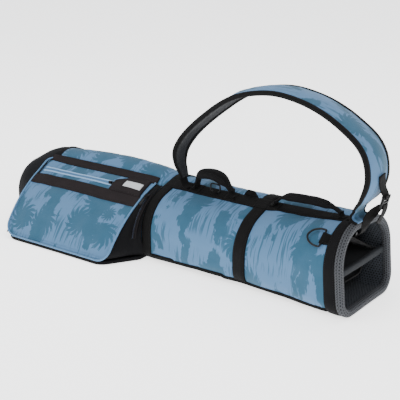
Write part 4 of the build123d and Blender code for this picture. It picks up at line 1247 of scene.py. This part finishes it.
def foot_patch(name, x, half_long, half_wide, height=4.6, **rest):
    """A webbing patch on the spine, with its box-and-cross seam."""
    slab(name, spine_spot, (x - half_long, x + half_long),
         (SPINE_Y - half_wide, SPINE_Y + half_wide), (8, 6), height, *WEB,
         edge=1, sink=1.5, **rest)
    a, b = half_long - 2.2, half_wide - 2.2
    corners = [(-a, -b), (a, -b), (a, b), (-a, b), (-a, -b), (a, b)]
    path = [(x1 + (x2 - x1) * t, y1 + (y2 - y1) * t)
            for (x1, y1), (x2, y2) in zip(corners, corners[1:]) for t in np.arange(8) / 8]
    points = [spine_spot(x + px, SPINE_Y + py, height + 0.1) for px, py in [*path, corners[-1]]]
    stitches(name + "_stitching", [(points, (0, -0.35, 1))], "bag", "webbing", THREAD,
             pitch=2.6, long=1.9)


def foot_lug(name, x, lean, radius, width):
    """The webbing end that joins a handle's foot to its patch."""
    z = spine_top(x)
    line = catmull([(x + lean * 1.2, SPINE_Y, z + 2.2), (x + lean * 0.5, SPINE_Y, z + 3),
                    (x, SPINE_Y, z + FOOT_RISE + radius * 0.6),
                    (x, SPINE_Y, z + FOOT_RISE + radius * 1.3)], 5)
    made = sweep(name, line, (0, 1, 0), oblong(width, 3.4, 1.4), None, *WEB)
    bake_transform(made)


LIFT_FEET, GRAB_FEET = (36, 126), (234, 380)
LIFT_PEAKS = [(0.1, 0.72), (0.32, 1), (0.62, 0.94), (0.88, 0.42)]
GRAB_PEAKS = [(0.1, 0.7), (0.24, 0.99), (0.45, 1.03), (0.66, 0.96), (0.88, 0.55)]
handle("lift_grip", LIFT_FEET, 26, LIFT_PEAKS, 9, "lift_handle_body", "lift_handle",
       (18, 32, 7, 21))
handle("grab_grip", GRAB_FEET, 14, GRAB_PEAKS, 7, "grab_handle_body", "grab_handle",
       (14, 18, 5, 17))
for kind, feet, half_wide, radius, width in (("lift", LIFT_FEET, 13, 9, 20),
                                             ("grab", GRAB_FEET, 11, 7, 16)):
    for number, (x, lean) in enumerate(zip(feet, (-9, 9))):
        anchors = "" if number else f"{kind}_anchors"
        foot_patch(f"{kind}_patch_{number}", x, 13, half_wide, replaces=anchors)
        foot_lug(f"{kind}_lug_{number}", x, lean, radius, width)
foot_patch("spine_cross_patch", 203.5, 16.5, 14, height=3.8, replaces="spine_patch")


def fittings():
    """Tag, keeper ring and its loop."""
    y = SPINE_Y + SPINE_WIDTH / 2 + 0.4
    z = top_z(165, y) + 2
    outline = [(146, -2), (184, -2), (178, 7), (172.5, 13), (157.5, 13), (152, 7)]
    verts = [(x, y + side, z + h) for side in (-0.9, 0.9) for x, h in outline]
    count = len(outline)
    faces = [list(range(count))[::-1], list(range(count, 2 * count))]
    faces += [[k, (k + 1) % count, (k + 1) % count + count, k + count] for k in range(count)]
    uvs = [(verts[k][0] * MM, verts[k][2] * MM) for f in faces for k in f]
    mesh = build("tag_fold", verts, faces, uvs, recalc=True, soft=False)
    finish_mesh("tag_fold", mesh, "bag", *WEB, replaces="tag_loop")
    x, y, z = joint("keeper_ring_swing")[0]
    loop = oval(24, 17, 36, 4) + (x, z + 8.5)
    line = resample([(u, y, v) for u, v in loop], 1.5, closed=True)
    sweep("keeper_ring_bar", line, (0, 1, 0), oval(3.4, 3.2, 12), "keeper_ring_body",
          *FITTING, closed=True, replaces="keeper_ring")
    wrap = [(x, y + 2.9 * cos(turn), z + 2.9 * sin(turn))
            for turn in np.radians(np.linspace(-50, 230, 22))]
    wrap = [(x, y + 8, z - 0.4), *wrap, (x, y - 8, z - 4.6)]
    sweep("keeper_loop", wrap, (1, 0, 0), oblong(10, 0.9, 0.4), "bag", *WEB, replaces="keeper_tab")


def d_ring():
    """D-ring with its folded, stitched tab."""
    pin, y_dir = joint("d_ring_swing")
    x_dir = (-1, 0, 0)
    z_dir = np.cross(x_dir, y_dir)
    place = on_plane(pin, x_dir, z_dir)
    half = [(0, 16), (2, 18), (8, 18.2), (16, 16.5), (25, 12), (30.5, 5)]
    bow = [(u, -v) for u, v in half[1:]] + [(31.8, 0)] + half[:0:-1] + [(0, 16), (0, 0), (0, -16)]
    bow = catmull([*bow, bow[0]], 6)[:-1]
    line = resample([place(u, v, 0) for u, v in bow], 1.6, closed=True)
    sweep("d_ring_wire", line, z_dir, oval(3.9, 3.8, 14), "d_ring_body", *FITTING, closed=True,
          replaces="d_ring")
    wrap = [(-17, -2.9), (-10, -2.8), (-5, -2.9)]
    wrap += [(3.4 * sin(t), -3.4 * cos(t)) for t in np.radians(np.linspace(0, 185, 12))]
    wrap += [(-5, 2.4), (-11, 0.2), (-17, -1.2)]
    sweep("d_ring_strap", [place(u, 0, w) for u, w in wrap], y_dir, oblong(22, 1.2, 0.5), "bag",
          *WEB, replaces="d_ring_tab")
    rows = [([place(u, v, 1.2 + 1.8 * smooth(-12, -4, u)) for u in np.linspace(-15, -4, 6)], z_dir)
            for v in (-8.5, 8.5)]
    stitches("d_ring_stitching", rows, "bag", "webbing", THREAD, pitch=2.4, long=1.7)


fittings()
d_ring()

# ---------------- shoulder strap
STRAP_Y = -8
# x, z and width along the pad's middle line
STRAP_LINE = [
    (4.5, 173, 23), (0, 186, 28), (-6, 206, 37), (0, 236, 50),
    (32, 277, 62), (88, 325, 72), (160, 370, 76), (245, 387, 76),
    (322, 376, 76), (390, 345, 77), (434, 309, 79), (448, 263, 80),
    (439, 223, 80), (425, 202, 56), (418, 192, 43),
]


def strap():
    """Crowned foam pad: printed outside, mesh inside, bound along both edges."""
    line = catmull(STRAP_LINE, 14)
    line = np.column_stack([line[:, 0], np.full(len(line), STRAP_Y), line[:, 1:]])
    line = resample(line, 5)
    spots, widths = line[:, :3], line[:, 3]
    out = unit(np.cross(unit(np.gradient(spots, axis=0)), (0, -1, 0)))
    out = out * np.sign(out[len(out) // 2, 2])
    count = 21
    across = np.linspace(-1, 1, count)
    flat_top = 1 - across ** 4
    share = lengths(spots) / lengths(spots)[-1]
    full = smooth(0, 0.12, share) * smooth(1, 0.9, share)
    lumps = rough(np.outer(share * 900, (1, 0, 0)), 60, 1.9)
    P = []
    for k, here in enumerate(spots):
        f = 0.35 + 0.65 * full[k]
        side = np.outer(across * widths[k] / 2, (0, 1, 0))
        wrinkle = rough(side * 0.6 + (share[k] * 1000, 0, 0), 26, 4.7)
        crown = 7.5 * (1 - across ** 2) * f + 3.5 * full[k]
        top = crown + 0.9 * wrinkle * flat_top + lumps[k] * 0.8
        under = top - (3 + 5 * flat_top) * (0.5 + 0.5 * f)
        upper, lower = (here + out[k] * rise[:, None] + side for rise in (top, under))
        P.append(np.vstack([upper, lower[::-1], upper[:1]]))
    P = np.array(P)
    printed, mesh_side, bound = 0, 1, 2
    kinds = [printed] * (count - 1) + [bound] + [mesh_side] * (count - 1) + [bound]
    tube("strap_cushion", P, "shoulder_strap", "strap_fabric", [PRINT_STRAP, PAD_MESH, BINDING],
         kinds=kinds * (len(P) - 1) + [bound, bound], replaces="strap_pad", padded=0.8)
    rows = []
    size = 0.5 + 0.5 * full
    profile = np.array([oval(11.5 * s, 10 * s, 14, 2.6) for s in size])
    for number, (sign, column) in enumerate(((-1, 0), (1, count - 1))):
        edge = (P[:, column] + P[:, 2 * count - 1 - column]) / 2
        inward = np.outer(size, (0, -sign * 3.4, 0))
        sweep(f"strap_binding_{number}", edge + inward + out * 0.4, (0, 1, 0), profile,
              "shoulder_strap", *BOUND)
        rows.append((P[6:-6, column - 2 * sign], out[6:-6]))
    stitches("strap_stitching", rows, "shoulder_strap", "strap_fabric", THREAD_BLUE, rise=0.2)


def strap_feet():
    """Sewn patches under the strap's feet, with the webbing at one and the flap at the other."""
    foot_patch("strap_patch_base", 8, 14, 13, height=4.4, replaces="strap_anchor_base")
    ground = top_z(8, STRAP_Y)
    line = catmull([(x, STRAP_Y, ground + h)
                    for x, h in ((20, 4.4), (13, 5.4), (8, 9), (4, 16), (0.5, 26))], 6)
    made = sweep("strap_lug_base", line, (0, 1, 0), oblong(23, 2.6, 1.1), None, *WEB)
    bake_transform(made)
    ground = top_z(424, STRAP_Y) + WEBBING
    flap = catmull([(x, STRAP_Y, z) for x, z in (
        (431, ground + 5.4), (424, ground + 5.8), (417, ground + 8.5), (415, ground + 15),
        (416.5, 187), (420, 193.5))], 6)
    wide = np.linspace(62, 42, len(flap))
    printed = np.array([oblong(w, 2.6, 1.2) for w in wide])
    plain = np.array([oblong(w - 2, 2, 0.9) for w in wide])
    roll = oval(5.5, 5, 12)
    for name, side, shift, profile, mat in (
        ("strap_flap_print", 0, (0, 0, 0), printed, PRINT_STRAP),
        ("strap_flap_back", 0, (-1.6, 0, -1.2), plain, BLACK),
        ("strap_flap_edge_0", -0.5, (0, 0, 0), roll, BINDING),
        ("strap_flap_edge_1", 0.5, (0, 0, 0), roll, BINDING),
    ):
        line = flap + np.outer(wide * side, (0, 1, 0)) + shift
        made = sweep(name, line, (0, 1, 0), profile, None, "strap_fabric", [mat])
        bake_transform(made)

    def rim_spot(x, y, out):
        z = top_z(422, y) + 3.6
        lean = 0.09
        return (x - lean * z, y - 0.15 * out, z + out)
    slab("strap_patch_mouth", rim_spot, (BAND_X + 4, LIP_X), (STRAP_Y - 14, STRAP_Y + 14), (6, 6),
         2, *WEB, replaces="strap_anchor_mouth")


def tether():
    """Adjusting webbing: sewn to the pad, through the ladder lock, over the lip into the mouth."""
    line = catmull([(461.8, -11, 266), (461.2, -9, 256), (460.6, -5, 246), (460.9, -1, 236),
                    (462.8, 3, 228), (464.6, 5, 221)], 8)
    sweep("strap_tab_webbing", line, (0, 1, 0), oblong(22, 2.2, 0.9), "shoulder_strap", *WEB,
          replaces="strap_tab")
    pin, axis = joint("lock_swing")
    hang = (-0.2, -0.1, -0.97)
    place = on_plane(pin, hang, np.cross(hang, axis))
    w = 13.5  # half the lock's width
    boxes = [(-2, 22, -w, -w + 3.4, -2.5, 2.5), (-2, 22, w - 3.4, w, -2.5, 2.5),
             (-2, 2, -w, w, -2.3, 2.3), (8, 11.5, -w, w, -1.8, 2.6), (18.5, 22, -w, w, -2.3, 2.8)]
    solid_boxes("ladder_lock_frame", boxes, place, "ladder_lock_body", *FITTING,
                bevel=0.9, replaces="ladder_lock")
    tab = ((-6, 2.2), (-2.5, 3.4), (3, 2.6), (3.6, -1), (0, -3.6), (-8, -3))
    tab = catmull([place(x, 0, z) for x, z in tab], 6)
    sweep("strap_tab_loop", tab, axis, oblong(19.5, 1.8, 0.8), "shoulder_strap", *WEB)
    path = [place(16.5, 0, 1), place(14.5, 0, -3.6), (452.5, 2, 199), (446, -2, 190.5),
            (440.5, -6, 182), (436.5, STRAP_Y, 174), (433, STRAP_Y, 165), (431, STRAP_Y, 156),
            (426.5, STRAP_Y, 147), (415, STRAP_Y, 137)]
    line = resample(catmull(path, 8), 3)
    share = lengths(line) / lengths(line)[-1]
    twist = 0.75 * np.sin(np.pi * np.clip(share / 0.75, 0, 1))
    side = np.column_stack([np.sin(twist), np.cos(twist), 0 * twist])
    made = sweep("tether_webbing", line, side, oblong(20, 2, 0.9), None, *WEB,
                 replaces="strap_tether tether_tail")
    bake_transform(made)
    tail = [place(12.5, 0, 3), place(20, 0, 4.4), (462.5, 1, 190), (458.5, -2, 179),
            (455.5, -4, 171)]
    sweep("tether_loose_end", catmull(tail, 6), (0, 1, 0), oblong(19, 1.8, 0.8), "shoulder_strap",
          *WEB)


strap()
strap_feet()
tether()

# ---------------- floor, light and camera
bpy.ops.mesh.primitive_plane_add(size=240, location=(0, 0, -0.0005))
floor = bpy.context.object
floor.name = "studio_floor"
studio = Paint("studio_white", rough_value=0.9, specular=0.1)
speckle = studio.noise(studio.place(), 3, 2)
studio.colour(studio.blend(speckle, (0.93, 0.93, 0.93, 1), (0.95, 0.95, 0.95, 1)))
studio.shader.inputs["Emission Color"].default_value = (1, 1, 1, 1)
studio.shader.inputs["Emission Strength"].default_value = 1.8
floor.data.materials.append(studio.mat)

world = bpy.data.worlds.new("studio")
bpy.context.scene.world = world
world.use_nodes = True
world.node_tree.nodes["Background"].inputs[0].default_value = (0.95, 0.97, 1, 1)
world.node_tree.nodes["Background"].inputs[1].default_value = 0.85


def lamp(name, place, aim, size, power):
    light = bpy.data.lights.new(name, "AREA")
    light.size = size
    light.energy = power
    obj = bpy.data.objects.new(name, light)
    bpy.context.scene.collection.objects.link(obj)
    obj.location = place
    obj.rotation_euler = (Vector(aim) - Vector(place)).to_track_quat("-Z", "Y").to_euler()


lamp("key", (-0.9, -2.2, 2.6), (0, 0, 0.1), 1.8, 75)
lamp("fill", (2.4, -1.2, 1.6), (0.1, 0, 0.1), 2.2, 28)
lamp("top", (0.2, 0.6, 2.8), (0, 0, 0.1), 2, 42)

camera = bpy.data.cameras.new("photo_camera")
camera.lens = 80
camera.sensor_width = 36
view = bpy.data.objects.new("photo_camera", camera)
bpy.context.scene.collection.objects.link(view)
azimuth, elevation, distance = radians(38), radians(19), 1.932
target = Vector((0.0115, 0.0368, 0.1104))
back = Vector((sin(azimuth) * cos(elevation), -cos(azimuth) * cos(elevation),
               sin(elevation)))
view.location = target + back * distance
view.rotation_euler = (-back).to_track_quat("-Z", "Y").to_euler()
bpy.context.scene.camera = view
